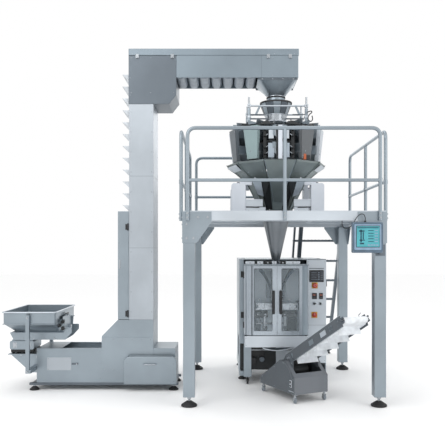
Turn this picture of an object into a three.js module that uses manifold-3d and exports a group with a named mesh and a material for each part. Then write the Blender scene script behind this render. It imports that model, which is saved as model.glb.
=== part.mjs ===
// A weigh-and-pack line built round a vertical form fill sealer: a bucket elevator lifts the product,
// a multihead weigher on a working platform portions it, and the form fill sealer below makes, fills
// and seals the bags, which a small take-off conveyor carries away.
//
// Millimetres, +Z up. While the pieces are made, the origin is on the floor under the forming tube,
// +X points to the operator's right and +Y away from the operator. The finished group is then shifted
// so that its origin is the centre of the bottom of its own box.

import * as THREE from 'three';
import { mergeVertices } from 'three/addons/utils/BufferGeometryUtils.js';
import Module from 'manifold-3d';

const wasm = await Module();
wasm.setup();

// ---------------------------------------------------------------------------------------------
// Driving dimensions
// ---------------------------------------------------------------------------------------------

const GAP = 0.5; // clearance between two pieces that touch on the real line

// Working platform
const DECK_TOP = 2000;
const DECK_PLATE = 5;
const BEAM_DEPTH = 100;
const BEAM_WIDTH = 80;
const LEG_WIDTH = 120;
const LEG_CENTRE = 972.5; // legs stand at plus and minus this, both ways
const LEG_BOTTOM = 100;
const RAIL_TOP = 2835;
const RAIL_MIDDLE = 2309;
const RAIL_RADIUS = 19;
const RAIL_LINE = 1060; // posts stand just outside the deck frame

// Bucket elevator: a Z of three casings, centred on the line's Y = 0
const ELEVATOR_HALF = 250;
const CASING_TOP = 3896;
const CASING_BOTTOM = 3566;
const COLUMN_LEFT = -1698;
const COLUMN_RIGHT = -1420;
const BUCKET_PITCH = 136;
const BASE_BOTTOM = 83;
const BASE_TOP = 475;

// Multihead weigher
const HEADS = 10;
const BOWL_RADIUS = 555;
const WEIGHER_FOOT = DECK_TOP + GAP;

// Form fill sealer
const CABINET = { left: -430, right: 610, front: 100, rear: 1300, bottom: 90, top: 1487 };
const TUBE_RADIUS = 60;

// Take-off conveyor: it stands turned from the line, belt climbing away from the sealer
const CONVEYOR_TURN = THREE.MathUtils.degToRad(-63.2);
const CONVEYOR_CLIMB = THREE.MathUtils.degToRad(28.6);

// ---------------------------------------------------------------------------------------------
// Solids: closed three.js geometries that can be cut and joined
// ---------------------------------------------------------------------------------------------

function solid(geometry) {
  const bare = geometry.clone();
  bare.deleteAttribute('normal');
  bare.deleteAttribute('uv');
  const merged = mergeVertices(bare, 1e-3);
  const corners = [];
  for (let i = 0; i < merged.index.count; i += 3) {
    const [a, b, c] = [0, 1, 2].map((k) => merged.index.getX(i + k));
    if (a !== b && b !== c && c !== a) corners.push(a, b, c);
  }
  const mesh = new wasm.Mesh({
    numProp: 3,
    vertProperties: new Float32Array(merged.attributes.position.array),
    triVerts: new Uint32Array(corners),
  });
  return new wasm.Manifold(mesh);
}

const join = (...pieces) => pieces.flat().reduce((whole, piece) => whole.add(piece));
const cut = (whole, ...tools) => tools.flat().reduce((rest, tool) => rest.subtract(tool), whole);

function box([x0, x1], [y0, y1], [z0, z1]) {
  const geometry = new THREE.BoxGeometry(x1 - x0, y1 - y0, z1 - z0);
  geometry.translate((x0 + x1) / 2, (y0 + y1) / 2, (z0 + z1) / 2);
  return solid(geometry);
}

// Directions that an outline's own x, y and depth take for a prism along each world axis.
const PRISM_BASIS = {
  x: [new THREE.Vector3(0, 1, 0), new THREE.Vector3(0, 0, 1), new THREE.Vector3(1, 0, 0)],
  y: [new THREE.Vector3(1, 0, 0), new THREE.Vector3(0, 0, 1), new THREE.Vector3(0, -1, 0)],
  z: [new THREE.Vector3(1, 0, 0), new THREE.Vector3(0, 1, 0), new THREE.Vector3(0, 0, 1)],
};

// An outline of [u, v] points pushed from start to end along an axis: (y, z) along x, (x, z) along y,
// (x, y) along z.
function prism(axis, outline, [start, end]) {
  const shape = new THREE.Shape(outline.map(([u, v]) => new THREE.Vector2(u, v)));
  const geometry = new THREE.ExtrudeGeometry(shape, { depth: end - start, bevelEnabled: false });
  geometry.applyMatrix4(new THREE.Matrix4().makeBasis(...PRISM_BASIS[axis]));
  const offset = axis === 'y' ? end : start;
  geometry.translate(axis === 'x' ? offset : 0, axis === 'y' ? offset : 0, axis === 'z' ? offset : 0);
  return solid(geometry);
}

function cylinder(axis, radius, [x, y, z], length, sides = 16, endRadius = radius) {
  const geometry = new THREE.CylinderGeometry(endRadius, radius, length, sides);
  if (axis === 'x') geometry.rotateZ(-Math.PI / 2);
  if (axis === 'z') geometry.rotateX(Math.PI / 2);
  geometry.translate(x, y, z);
  return solid(geometry);
}

// A profile of [radius, height] points, listed from the bottom outward and up, turned about a
// vertical axis through (x, y).
function revolve(profile, [x, y], sides = 24) {
  const points = profile.map(([r, h]) => new THREE.Vector2(r, h));
  const geometry = new THREE.LatheGeometry(points, sides);
  geometry.rotateX(Math.PI / 2);
  geometry.translate(x, y, 0);
  return solid(geometry);
}

// A path that is sampled exactly at its own points.
class PointPath extends THREE.Curve {
  constructor(points) {
    super();
    this.points = points;
  }

  index(u) {
    return Math.round(u * (this.points.length - 1));
  }

  getPointAt(u) {
    return this.points[this.index(u)].clone();
  }

  getTangentAt(u) {
    const i = this.index(u);
    const before = this.points[Math.max(i - 1, 0)];
    const after = this.points[Math.min(i + 1, this.points.length - 1)];
    return after.clone().sub(before).normalize();
  }
}

// A round section carried along a list of points.
function sweep(points, radius, sides) {
  const section = new THREE.Shape();
  section.absarc(0, 0, radius, 0, 2 * Math.PI, false);
  const ring = new THREE.Shape(section.getSpacedPoints(sides).slice(0, sides));
  const settings = { steps: points.length - 1, extrudePath: new PointPath(points), bevelEnabled: false };
  return solid(new THREE.ExtrudeGeometry(ring, settings));
}

// A round bar through corner points, each inner corner bent round.
function bar(corners, radius, bend = 0, sides = 8) {
  const points = corners.map((corner) => new THREE.Vector3(...corner));
  const route = [points[0]];
  for (let i = 1; i < points.length - 1; i += 1) {
    const toBack = points[i - 1].clone().sub(points[i]).setLength(bend);
    const toNext = points[i + 1].clone().sub(points[i]).setLength(bend);
    const arcStart = points[i].clone().add(toBack);
    const arcEnd = points[i].clone().add(toNext);
    route.push(...new THREE.QuadraticBezierCurve3(arcStart, points[i], arcEnd).getPoints(4));
  }
  route.push(points.at(-1));
  return sweep(route, radius, sides);
}

// ---------------------------------------------------------------------------------------------
// The line: named pieces, each one solid with its own finish
// ---------------------------------------------------------------------------------------------

const line = new THREE.Group();

const FINISH = {
  steel: { color: 0x9aa5b0, roughness: 0.38, metalness: 0.85 },
  casing: { color: 0x8894a0, roughness: 0.42, metalness: 0.8 },
  darkSteel: { color: 0x5c636b, roughness: 0.45, metalness: 0.8 },
  brightSteel: { color: 0xd9dee4, roughness: 0.35, metalness: 0.6 },
  painted: { color: 0xe4e8ee, roughness: 0.5, metalness: 0.1 },
  bucket: { color: 0xcfd6dc, roughness: 0.5, metalness: 0.2 },
  rubber: { color: 0x1b1c1e, roughness: 0.8, metalness: 0 },
  whiteBelt: { color: 0xeef0f2, roughness: 0.7, metalness: 0 },
  plastic: { color: 0x5a7488, roughness: 0.5, metalness: 0.1 },
  film: { color: 0xdfe6ea, roughness: 0.3, metalness: 0 },
  red: { color: 0xd2402c, roughness: 0.4, metalness: 0 },
};

function piece(name, shape, finish, parent = line) {
  const { vertProperties, triVerts } = shape.getMesh();
  const geometry = new THREE.BufferGeometry();
  geometry.setAttribute('position', new THREE.Float32BufferAttribute(vertProperties, 3));
  geometry.setIndex(new THREE.Uint32BufferAttribute(triVerts, 1));
  geometry.computeVertexNormals();
  const mesh = new THREE.Mesh(geometry, new THREE.MeshStandardMaterial(FINISH[finish]));
  mesh.name = name;
  parent.add(mesh);
}

// ---------------------------------------------------------------------------------------------
// Working platform
// ---------------------------------------------------------------------------------------------

const LEG_HALF = LEG_WIDTH / 2;
const FRAME_EDGE = LEG_CENTRE + LEG_HALF; // outer face of the legs and of the deck frame
const BEAM_BOTTOM = DECK_TOP - BEAM_DEPTH;
const CORNERS = [
  { name: 'front_left', x: -1, y: -1 },
  { name: 'front_right', x: 1, y: -1 },
  { name: 'rear_left', x: -1, y: 1 },
  { name: 'rear_right', x: 1, y: 1 },
];

const GUSSET_REACH = 290;
const GUSSET_BOTTOM = BEAM_BOTTOM - 230;
const GUSSET_TOP = DECK_TOP - 10;

const span = (a, b) => [Math.min(a, b), Math.max(a, b)];

// The bracket plate that ties a leg to the beams: it laps over the outer faces of both.
function gussetOutline(side) {
  const outline = [
    [FRAME_EDGE, GUSSET_BOTTOM],
    [FRAME_EDGE - LEG_WIDTH - 20, GUSSET_BOTTOM],
    [FRAME_EDGE - GUSSET_REACH, DECK_TOP - 120],
    [FRAME_EDGE - GUSSET_REACH, GUSSET_TOP],
    [FRAME_EDGE, GUSSET_TOP],
  ];
  return outline.map(([u, v]) => [side * u, v]);
}

function platformLeg({ x, y }) {
  const plate = 8;
  const post = box(
    span(x * (LEG_CENTRE - LEG_HALF), x * FRAME_EDGE),
    span(y * (LEG_CENTRE - LEG_HALF), y * FRAME_EDGE),
    [LEG_BOTTOM, BEAM_BOTTOM - GAP],
  );
  const frontGusset = prism('y', gussetOutline(x), span(y * FRAME_EDGE, y * (FRAME_EDGE + plate)));
  const sideGusset = prism('x', gussetOutline(y), span(x * FRAME_EDGE, x * (FRAME_EDGE + plate)));
  const corner = box(
    span(x * FRAME_EDGE, x * (FRAME_EDGE + plate)),
    span(y * FRAME_EDGE, y * (FRAME_EDGE + plate)),
    [GUSSET_BOTTOM, GUSSET_TOP],
  );
  return join(post, frontGusset, sideGusset, corner);
}

// A levelling foot: a rubber cone with a threaded stem and lock nut up to the leg's end plate.
function levellingFoot({ x, y }) {
  const centre = [x * LEG_CENTRE, y * LEG_CENTRE];
  const pad = [[0, 0], [82, 0], [82, 14], [34, 52], [0, 52]];
  const stem = cylinder('z', 12.5, [...centre, (48 + LEG_BOTTOM - GAP) / 2], LEG_BOTTOM - GAP - 48, 12);
  const nut = cylinder('z', 22, [...centre, LEG_BOTTOM - 13], 18, 6);
  return join(revolve(pad, centre, 20), stem, nut);
}

function deckFrame() {
  const outer = FRAME_EDGE - GAP;
  const inner = outer - BEAM_WIDTH;
  const ring = cut(
    box([-outer, outer], [-outer, outer], [BEAM_BOTTOM, DECK_TOP]),
    box([-inner, inner], [-inner, inner], [BEAM_BOTTOM - 1, DECK_TOP + 1]),
  );
  const joistTop = DECK_TOP - DECK_PLATE - GAP;
  const joist = (y) => box([-inner - 1, inner + 1], [y - 30, y + 30], [BEAM_BOTTOM + 20, joistTop]);
  const bearer = (x) => box([x - 25, x + 25], [-350, 350], [BEAM_BOTTOM + 40, joistTop]);
  return join(ring, joist(-350), joist(350), bearer(-452), bearer(434));
}

function deckPlate() {
  const edge = FRAME_EDGE - BEAM_WIDTH - 2 * GAP;
  const plate = box([-edge, edge], [-edge, edge], [DECK_TOP - DECK_PLATE, DECK_TOP]);
  const coneHole = cylinder('z', 190, [0, 0, DECK_TOP], 40, 24);
  return cut(plate, coneHole);
}

// A guard rail: top and middle bars, end posts and one post between them, with pads for its bolts.
// The rail runs along X or along Y at a fixed distance on the other axis.
function guardRail(along, from, to, railLine, middlePost) {
  const at = (u, z) => (along === 'x' ? [u, railLine, z] : [railLine, u, z]);
  const hoop = bar(
    [at(from, BEAM_BOTTOM), at(from, RAIL_TOP), at(to, RAIL_TOP), at(to, BEAM_BOTTOM)],
    RAIL_RADIUS,
    90,
  );
  const middleBar = bar([at(from, RAIL_MIDDLE), at(to, RAIL_MIDDLE)], RAIL_RADIUS - 2);
  const post = bar([at(middlePost, BEAM_BOTTOM), at(middlePost, RAIL_TOP)], RAIL_RADIUS - 1);
  const inward = -Math.sign(railLine);
  const padDepth = span(railLine, railLine + inward * (RAIL_LINE - FRAME_EDGE - GAP));
  const padSpan = [middlePost - 30, middlePost + 30];
  const pad = along === 'x'
    ? box(padSpan, padDepth, [BEAM_BOTTOM + 15, DECK_TOP - 15])
    : box(padDepth, padSpan, [BEAM_BOTTOM + 15, DECK_TOP - 15]);
  return join(hoop, middleBar, post, pad);
}

// The ladder leans on the rear of the deck frame and stands on the floor. Its left stringer is doubled by
// a broad plate, the foot of the handhold on that side.
function ladder() {
  const left = 356;
  const right = 995;
  const plate = 442;
  const top = [FRAME_EDGE + 45, DECK_TOP];
  const foot = [2240, 0];
  const depth = 70;
  const side = [
    [foot[0] - depth / 2, 0],
    [foot[0] + depth / 2, 0],
    [top[0] + depth / 2, top[1]],
    [top[0] - depth / 2, top[1]],
  ];
  const stringer = (x, halfWidth) => prism('x', side, [x - halfWidth, x + halfWidth]);
  const steps = 6;
  const stepPitch = 281;
  const rungs = [];
  for (let i = 1; i <= steps; i += 1) {
    const z = DECK_TOP - i * stepPitch;
    const y = foot[0] + (top[0] - foot[0]) * (z / DECK_TOP);
    rungs.push(box([left, right], [y - 30, y + 30], [z - 14, z + 14]));
  }
  return join(stringer(left, 12), stringer(plate, 26), stringer(right, 20), rungs);
}

function addPlatform() {
  CORNERS.forEach((corner) => {
    piece(`platform_leg_${corner.name}`, platformLeg(corner), 'steel');
    piece(`platform_foot_${corner.name}`, levellingFoot(corner), 'rubber');
  });
  piece('deck_frame', deckFrame(), 'brightSteel');
  piece('deck_plate', deckPlate(), 'steel');
  piece('guard_rail_front', guardRail('x', -985, 965, -RAIL_LINE, 0), 'steel');
  piece('guard_rail_left', guardRail('y', -900, 900, -RAIL_LINE, 0), 'steel');
  piece('guard_rail_right', guardRail('y', -900, 900, RAIL_LINE, 0), 'steel');
  piece('guard_rail_rear', guardRail('x', -985, 300, RAIL_LINE, -330), 'steel');
  piece('ladder', ladder(), 'darkSteel');
}

addPlatform();

// ---------------------------------------------------------------------------------------------
// Bucket elevator
// ---------------------------------------------------------------------------------------------

const WALL = 8;
const HALF = ELEVATOR_HALF;
const INNER = HALF - WALL;
const BOOT_TOP = 800;
const CORNER_BOTTOM = 3264;
const CORNER_RIGHT = -1158;
const COVER_BOTTOM = 3820;
const HEAD_LEFT = -1704;
const HEAD_RIGHT = 236;
const TROUGH = { left: -2753, right: -1170 };
const BOOT_LEFT = -2010;

// A block whose bottom and top are two different rectangles: [x0, x1, y0, y1, z] for each.
function taper(bottom, top) {
  const rectangle = ([x0, x1, y0, y1, z]) => [x0, y0, z, x1, y0, z, x1, y1, z, x0, y1, z];
  const corners = [...rectangle(bottom), ...rectangle(top)];
  const faces = [0, 2, 1, 0, 3, 2, 4, 5, 6, 4, 6, 7];
  for (let i = 0; i < 4; i += 1) {
    const next = (i + 1) % 4;
    faces.push(i, next, next + 4, i, next + 4, i + 4);
  }
  const geometry = new THREE.BufferGeometry();
  geometry.setAttribute('position', new THREE.Float32BufferAttribute(corners, 3));
  geometry.setIndex(faces);
  return solid(geometry);
}

// A chute with walls of one thickness, open at its top and bottom.
function taperedChute(bottom, top, wall) {
  const inset = ([x0, x1, y0, y1, z], dz) => [x0 + wall, x1 - wall, y0 + wall, y1 - wall, z + dz];
  return cut(taper(bottom, top), taper(inset(bottom, -1), inset(top, 1)));
}

function elevatorSkid() {
  const rails = [-1, 1].map((side) => {
    return box([-2835, -1135], span(side * 215, side * 255), [56, BASE_BOTTOM - GAP]);
  });
  const ties = [-2790, -1180].map((x) => box([x - 30, x + 30], [-250, 250], [56, BASE_BOTTOM - GAP]));
  const feet = [-2790, -1180].flatMap((x) => [-235, 235].map((y) => {
    return revolve([[0, 0], [55, 0], [55, 14], [22, 42], [13, 70], [0, 70]], [x, y], 16);
  }));
  return join(rails, ties, feet);
}

function baseTrough() {
  const outer = box([TROUGH.left, TROUGH.right], [-HALF, HALF], [BASE_BOTTOM, BASE_TOP]);
  const length = [TROUGH.left + WALL, TROUGH.right - WALL];
  const inside = box(length, [-INNER, INNER], [BASE_BOTTOM + WALL, BASE_TOP - WALL]);
  const loadingMouth = box([-2475, -2020], [-220, 220], [BASE_TOP - 20, BASE_TOP + 1]);
  const riserMouth = box([-1995, -1435], [-220, 220], [BASE_TOP - 20, BASE_TOP + 1]);
  return cut(outer, inside, loadingMouth, riserMouth);
}

// The casing where the chain turns upward, with a panel lapped over the front of the trough.
function bootCasing() {
  const outline = (inset, low, high) => [
    [BOOT_LEFT + inset, low],
    [BOOT_LEFT + inset, 613],
    [-1828 + inset, high],
    [COLUMN_RIGHT - inset, high],
    [COLUMN_RIGHT - inset, low],
  ];
  const bottom = BASE_TOP + GAP;
  const casing = cut(
    prism('y', outline(0, bottom, BOOT_TOP - GAP), [-HALF, HALF]),
    prism('y', outline(WALL, bottom - 5, BOOT_TOP + 5), [-INNER, INNER]),
  );
  const lap = box([BOOT_LEFT, COLUMN_RIGHT], [-HALF - 6, -HALF - GAP], [210, 600]);
  const seam = box([BOOT_LEFT + 20, COLUMN_RIGHT - 20], [-HALF - 2, -HALF + 2], [500, 590]);
  return join(casing, lap, seam);
}

// The column is a channel, open to the left where the rising buckets' lips stand out.
function column() {
  const outer = box([COLUMN_LEFT, COLUMN_RIGHT], [-HALF, HALF], [BOOT_TOP, CORNER_BOTTOM - GAP]);
  const across = [COLUMN_LEFT - 1, COLUMN_RIGHT - WALL];
  const inside = box(across, [-INNER, INNER], [BOOT_TOP - 1, CORNER_BOTTOM + 1]);
  return cut(outer, inside);
}

function headCorner() {
  const outline = [
    [HEAD_LEFT, CORNER_BOTTOM],
    [CORNER_RIGHT - 82, CORNER_BOTTOM],
    [CORNER_RIGHT, CORNER_BOTTOM + 106],
    [CORNER_RIGHT, COVER_BOTTOM - GAP],
    [HEAD_LEFT, COVER_BOTTOM - GAP],
  ];
  const inside = [
    [HEAD_LEFT - 1, CORNER_BOTTOM - 1],
    [COLUMN_RIGHT - WALL, CORNER_BOTTOM - 1],
    [COLUMN_RIGHT - WALL, CORNER_BOTTOM + 30],
    [CORNER_RIGHT - 88, CORNER_BOTTOM + WALL],
    [CORNER_RIGHT - WALL, CORNER_BOTTOM + 112],
    [CORNER_RIGHT - WALL, CASING_BOTTOM - 20],
    [CORNER_RIGHT + 1, CASING_BOTTOM - 20],
    [CORNER_RIGHT + 1, COVER_BOTTOM - WALL],
    [HEAD_LEFT - 1, COVER_BOTTOM - WALL],
  ];
  return cut(prism('y', outline, [-HALF, HALF]), prism('y', inside, [-INNER, INNER]));
}

// The level run at the top, open below where the buckets pass.
function headCasing() {
  const left = CORNER_RIGHT + GAP;
  return cut(
    box([left, HEAD_RIGHT], [-HALF, HALF], [CASING_BOTTOM, COVER_BOTTOM - GAP]),
    box([left - 1, HEAD_RIGHT - WALL], [-INNER, INNER], [CASING_BOTTOM - 1, COVER_BOTTOM - WALL]),
  );
}

const headCover = () => join(
  box([HEAD_LEFT, HEAD_RIGHT + 6], [-HALF - 6, HALF + 6], [COVER_BOTTOM, CASING_TOP]),
  box([HEAD_LEFT + 40, HEAD_RIGHT - 40], [-HALF + 40, HALF - 40], [CASING_TOP - 1, CASING_TOP + 14]),
);

function riserCover() {
  const right = COLUMN_LEFT - GAP;
  const shell = cut(
    box([-1826, right], [-HALF, HALF], [BOOT_TOP + 4, 2040]),
    box([-1818, right + 1], [-INNER, INNER], [BOOT_TOP + 3, 2041]),
  );
  const hinges = [870, 1860].map((z) => cylinder('z', 10, [COLUMN_LEFT - 12, -HALF - 8, z], 70, 10));
  return join(shell, hinges);
}

// One trough bucket, open above, between the two side strips that carry it.
function bucket(outline, x, z) {
  const middle = outline.reduce((sum, [u]) => sum + u, 0) / outline.length;
  const shrunk = outline.map(([u, v]) => [x + middle + (u - middle) * 0.9, z + (v > 0 ? v + 8 : v * 0.86)]);
  const placed = outline.map(([u, v]) => [x + u, z + v]);
  return cut(prism('y', placed, [-225, 225]), prism('y', shrunk, [-217, 217]));
}

const SCOOP = [[-120, 40], [-20, -58], [60, -58], [110, 10], [110, 40]];
const ROUND_TROUGH = [[-66, 50], [-58, -20], [-30, -58], [30, -58], [58, -20], [66, 50]];

// The rising buckets: scoops stacked one pitch apart, their lips to the left.
function riserBuckets() {
  const x = -1655;
  const bottom = BOOT_TOP + 80;
  const count = 21;
  const top = bottom + (count - 1) * BUCKET_PITCH;
  const strips = [-1, 1].map((side) => {
    return box([x + 60, x + 90], span(side * 224, side * 232), [bottom - 25, top + 45]);
  });
  const buckets = Array.from({ length: count }, (_, i) => bucket(SCOOP, x, bottom + i * BUCKET_PITCH));
  return join(strips, buckets);
}

function levelBuckets(from, count, z) {
  const strips = [-1, 1].map((side) => {
    const across = span(side * 224, side * 232);
    return box([from - 66, from + (count - 1) * BUCKET_PITCH + 66], across, [z + 20, z + 44]);
  });
  const buckets = Array.from({ length: count }, (_, i) => bucket(ROUND_TROUGH, from + i * BUCKET_PITCH, z));
  return join(strips, buckets);
}

// The shaft that drives the chains at the discharge end, with its two sprockets.
function headShaft() {
  const centre = [80, 0, 3700];
  const shaft = cylinder('y', 17, centre, 2 * INNER - 8, 12);
  const sprockets = [-205, 205].map((y) => cylinder('y', 70, [centre[0], y, centre[2]], 10, 18));
  const key = box([centre[0] - 5, centre[0] + 5], [-215, 215], [centre[2] + 10, centre[2] + 22]);
  return join(shaft, sprockets, key);
}

// The geared motor on the far side of the head.
function gearMotor() {
  const y = HALF + GAP;
  const flange = cylinder('y', 70, [80, y + 5, 3700], 10, 20);
  const gearbox = box([20, 140], [y + 8, y + 118], [3630, 3770]);
  const motor = cylinder('x', 58, [-60, y + 63, 3700], 190, 20);
  const fan = cylinder('x', 62, [-170, y + 63, 3700], 34, 20);
  return join(flange, gearbox, motor, fan);
}

function dischargeHopper() {
  const top = [-225, 229, -HALF + 10, HALF - 10, CASING_BOTTOM - GAP];
  const neckTop = [-105, 105, -105, 105, 3400];
  const chute = taperedChute(neckTop, top, 6);
  const neck = cut(
    cylinder('z', 105, [0, 0, 3375], 54, 24),
    cylinder('z', 97, [0, 0, 3375], 80, 24),
  );
  const ring = cut(
    box([-112, 112], [-112, 112], [3398, 3406]),
    cylinder('z', 97, [0, 0, 3400], 40, 24),
  );
  return join(cut(chute, cylinder('z', 97, [0, 0, 3400], 40, 24)), neck, ring);
}

// A catch drawer along the right foot of the elevator, open above.
function catchBox() {
  const deep = [-HALF - 90, -HALF - 7];
  const [left, right, bottom, top] = [-1745, -1150, 83, 394];
  const chamfer = 40;
  const outline = (inset) => [
    [left + inset, bottom + inset],
    [right - inset, bottom + inset],
    [right - inset, top - chamfer],
    [right - chamfer - inset, top],
    [left + chamfer + inset, top],
    [left + inset, top - chamfer],
  ];
  const hollow = prism('y', outline(WALL), [deep[0] + WALL, deep[1] - WALL]);
  const mouth = box(
    [left + chamfer + WALL, right - chamfer - WALL],
    [deep[0] + WALL, deep[1] - WALL],
    [top - 20, top + 20],
  );
  return cut(prism('y', outline(0), deep), hollow, mouth);
}

// ---------------------------------------------------------------------------------------------
// Vibratory feeder at the elevator's loading end
// ---------------------------------------------------------------------------------------------

function feedHopper() {
  const outlet = [-3035, -2515, -165, 165];
  const body = [-3075, -2495, -425, 465];
  const outletZ = 664;
  const shoulderZ = 770;
  const rimZ = 908;
  const wall = 5;
  const walls = taper([...body, shoulderZ], [...body, rimZ]);
  const funnel = taper([...outlet, outletZ], [...body, shoulderZ + 1]);
  const inset = ([x0, x1, y0, y1]) => [x0 + wall, x1 - wall, y0 + wall, y1 - wall];
  const hollow = [
    taper([...inset(body), shoulderZ], [...inset(body), rimZ + 1]),
    taper([...inset(outlet), outletZ - 1], [...inset(body), shoulderZ + 2]),
  ];
  const rim = box([-3096, -2478], [-442, 482], [rimZ - 12, rimZ]);
  const cheeks = [-205, 205].map((y) => box([-2560, -2440], [y - 3, y + 3], [690, 800]));
  const webs = [-205, 205].map((y) => box([-2562, -2496], span(y - 3, y + 3), [700, 790]));
  return cut(join(walls, funnel, rim, cheeks, webs), hollow);
}

// The gate that sets the layer depth.
function feedGate() {
  const plate = box([-2470, -2465], [-200, 200], [662, 830]);
  const handle = box([-2490, -2445], [-60, 60], [826, 834]);
  return join(plate, handle);
}

// An open trough: a sloping back end, a level floor and a nose whose sides rise past the gate.
function feederPan() {
  const side = [
    [-3078, 645],
    [-3078, 632],
    [-3040, 562],
    [-2445, 562],
    [-2372, 640],
    [-2372, 700],
    [-2450, 700],
    [-2460, 645],
  ];
  const inside = [[-3069, 720], [-3069, 634], [-3034, 568], [-2300, 568], [-2300, 720]];
  const shell = cut(prism('y', side, [-180, 180]), prism('y', inside, [-174, 174]));
  const foot = box([-3010, -2830], [-60, 60], [559, 563]);
  return join(shell, foot);
}

function feederDrive() {
  const body = box([-3095, -2815], [-150, 150], [414, 556]);
  const springs = [-3065, -2845].flatMap((x) => [-110, 110].map((y) => {
    return cylinder('z', 18, [x, y, 408], 13, 12);
  }));
  return join(body, springs);
}

function feederStand() {
  const posts = [[-472, -432], [488, 528]].map((across) => box([-2812, -2772], across, [230, 876]));
  const arm = box([-2812, TROUGH.left - GAP], [-472, 528], [230, 270]);
  const brackets = [-150, 150].map((y) => {
    return prism('y', [[-3085, 393], [-2850, 180], [-2754, 180], [-2754, 393]], [y - 4, y + 4]);
  });
  const table = box([-3100, -2754], [-200, 200], [393, 401]);
  return join(posts, arm, brackets, table);
}

function addElevator() {
  piece('elevator_skid', elevatorSkid(), 'darkSteel');
  piece('base_trough', baseTrough(), 'steel');
  piece('boot_casing', bootCasing(), 'steel');
  piece('column_casing', column(), 'casing');
  piece('head_corner_casing', headCorner(), 'darkSteel');
  piece('head_casing', headCasing(), 'casing');
  piece('head_cover', headCover(), 'steel');
  piece('riser_cover', riserCover(), 'steel');
  piece('riser_buckets', riserBuckets(), 'bucket');
  piece('head_buckets', levelBuckets(-1110, 7, CASING_BOTTOM + 52), 'bucket');
  piece('base_buckets', levelBuckets(-2670, 6, 330), 'bucket');
  piece('head_shaft', headShaft(), 'darkSteel');
  piece('gear_motor', gearMotor(), 'casing');
  piece('discharge_hopper', dischargeHopper(), 'darkSteel');
  piece('catch_box', catchBox(), 'steel');
  piece('feed_hopper', feedHopper(), 'steel');
  piece('feed_gate', feedGate(), 'steel');
  piece('feeder_pan', feederPan(), 'brightSteel');
  piece('feeder_drive', feederDrive(), 'darkSteel');
  piece('feeder_stand', feederStand(), 'steel');
}

addElevator();

// ---------------------------------------------------------------------------------------------
// Multihead weigher on the platform
// ---------------------------------------------------------------------------------------------

const RING_Z = 2380; // the ring that the box legs carry
const RING_OUTER = 400;
const BODY_BOTTOM = 2600;
const BODY_TOP = 3003;
const headAngles = Array.from({ length: HEADS }, (_, i) => ((i + 0.5) * 2 * Math.PI) / HEADS);
const polar = (radius, angle) => [radius * Math.cos(angle), radius * Math.sin(angle)];
const turn = (shape, angle) => shape.rotate([0, 0, THREE.MathUtils.radToDeg(angle)]);
const supportAngles = [45, 135, 225, 315].map(THREE.MathUtils.degToRad);

function weigherBase() {
  const legs = [[-532, -372], [361, 507]].flatMap((across) => [[-330, -180], [180, 330]].map((deep) => {
    const leg = box(across, deep, [WEIGHER_FOOT, 2346]);
    const middle = (across[0] + across[1]) / 2;
    const bolt = cylinder('z', 14, [middle, (deep[0] + deep[1]) / 2, 2352], 24, 8);
    const inner = across[0] < 0 ? [across[1] - 60, -300] : [290, across[0] + 60];
    const arm = box(inner, [deep[0] + 20, deep[0] + 80], [2330, RING_Z + 14]);
    return join(leg, bolt, arm);
  }));
  const ring = cut(
    cylinder('z', RING_OUTER, [0, 0, RING_Z + 7], 14, 24),
    cylinder('z', 335, [0, 0, RING_Z + 7], 40, 24),
  );
  const bars = [-300, 300].map((y) => box([-380, 370], [y - 20, y + 20], [2170, 2215]));
  return join(ring, legs, bars);
}

// The four posts between the ring and the drive housing.
function supportPosts(radius, bottom) {
  const top = BODY_BOTTOM + 5;
  const circle = 362;
  return supportAngles.map((angle) => {
    return cylinder('z', radius, [...polar(circle, angle), (bottom + top) / 2], top - bottom, 10);
  });
}

// The central drive housing, its base plate on four posts, and the pans that feed each head.
function weigherBody() {
  const core = revolve([
    [0, BODY_BOTTOM],
    [405, BODY_BOTTOM],
    [405, BODY_BOTTOM + 12],
    [236, BODY_BOTTOM + 12],
    [236, 2985],
    [425, 2992],
    [425, BODY_TOP],
    [0, BODY_TOP],
  ], [0, 0], 20);
  const pans = headAngles.map((angle) => {
    const tray = cut(
      taper([200, 470, -42, 42, BODY_TOP - 1], [195, 500, -66, 66, 3058]),
      taper([206, 520, -37, 37, BODY_TOP + 5], [201, 540, -61, 61, 3060]),
    );
    return turn(tray, angle);
  });
  return join(core, supportPosts(15, RING_Z + 14 + GAP), pans);
}

// Feed hoppers above, weigh hoppers below, and their sheet covers, hung on one carrier ring.
function hopperRing() {
  const carrier = cut(
    cylinder('z', 330, [0, 0, 2860], 60, 20),
    cylinder('z', 262, [0, 0, 2860], 80, 20),
  );
  const heads = headAngles.map((angle) => {
    const cover = taper([300, 515, -84, 84, 2800], [300, 552, -100, 100, 2978]);
    const weighHopper = taper([345, 492, -62, 62, 2625], [320, 512, -96, 96, 2790]);
    const spine = taper([320, 420, -30, 30, 2780], [320, 420, -30, 30, 2830]);
    return turn(join(cover, weighHopper, spine), angle);
  });
  return join(carrier, heads);
}

// The petal chutes: a wide ten-sided funnel with standing lips.
function dischargeBowl() {
  const outer = [[338, RING_Z + 15], [BOWL_RADIUS, 2577], [BOWL_RADIUS, 2592]];
  const inner = [[BOWL_RADIUS - 6, 2592], [BOWL_RADIUS - 7, 2580], [332, RING_Z + 15]];
  const bowl = revolve([...outer, ...inner, outer[0]], [0, 0], 2 * HEADS);
  return cut(bowl, supportPosts(18, RING_Z));
}

function dischargeCone() {
  const flange = [[347, RING_Z - 1.5], [347, RING_Z - GAP]];
  const outer = [[47, 1470], [174, DECK_TOP], [188, 2060], [325, RING_Z - 2], ...flange];
  const inner = [[319, RING_Z - GAP], [182, 2062], [168, DECK_TOP + 1], [41, 1470]];
  return revolve([...outer, ...inner, outer[0]], [0, 0], 24);
}

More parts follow.
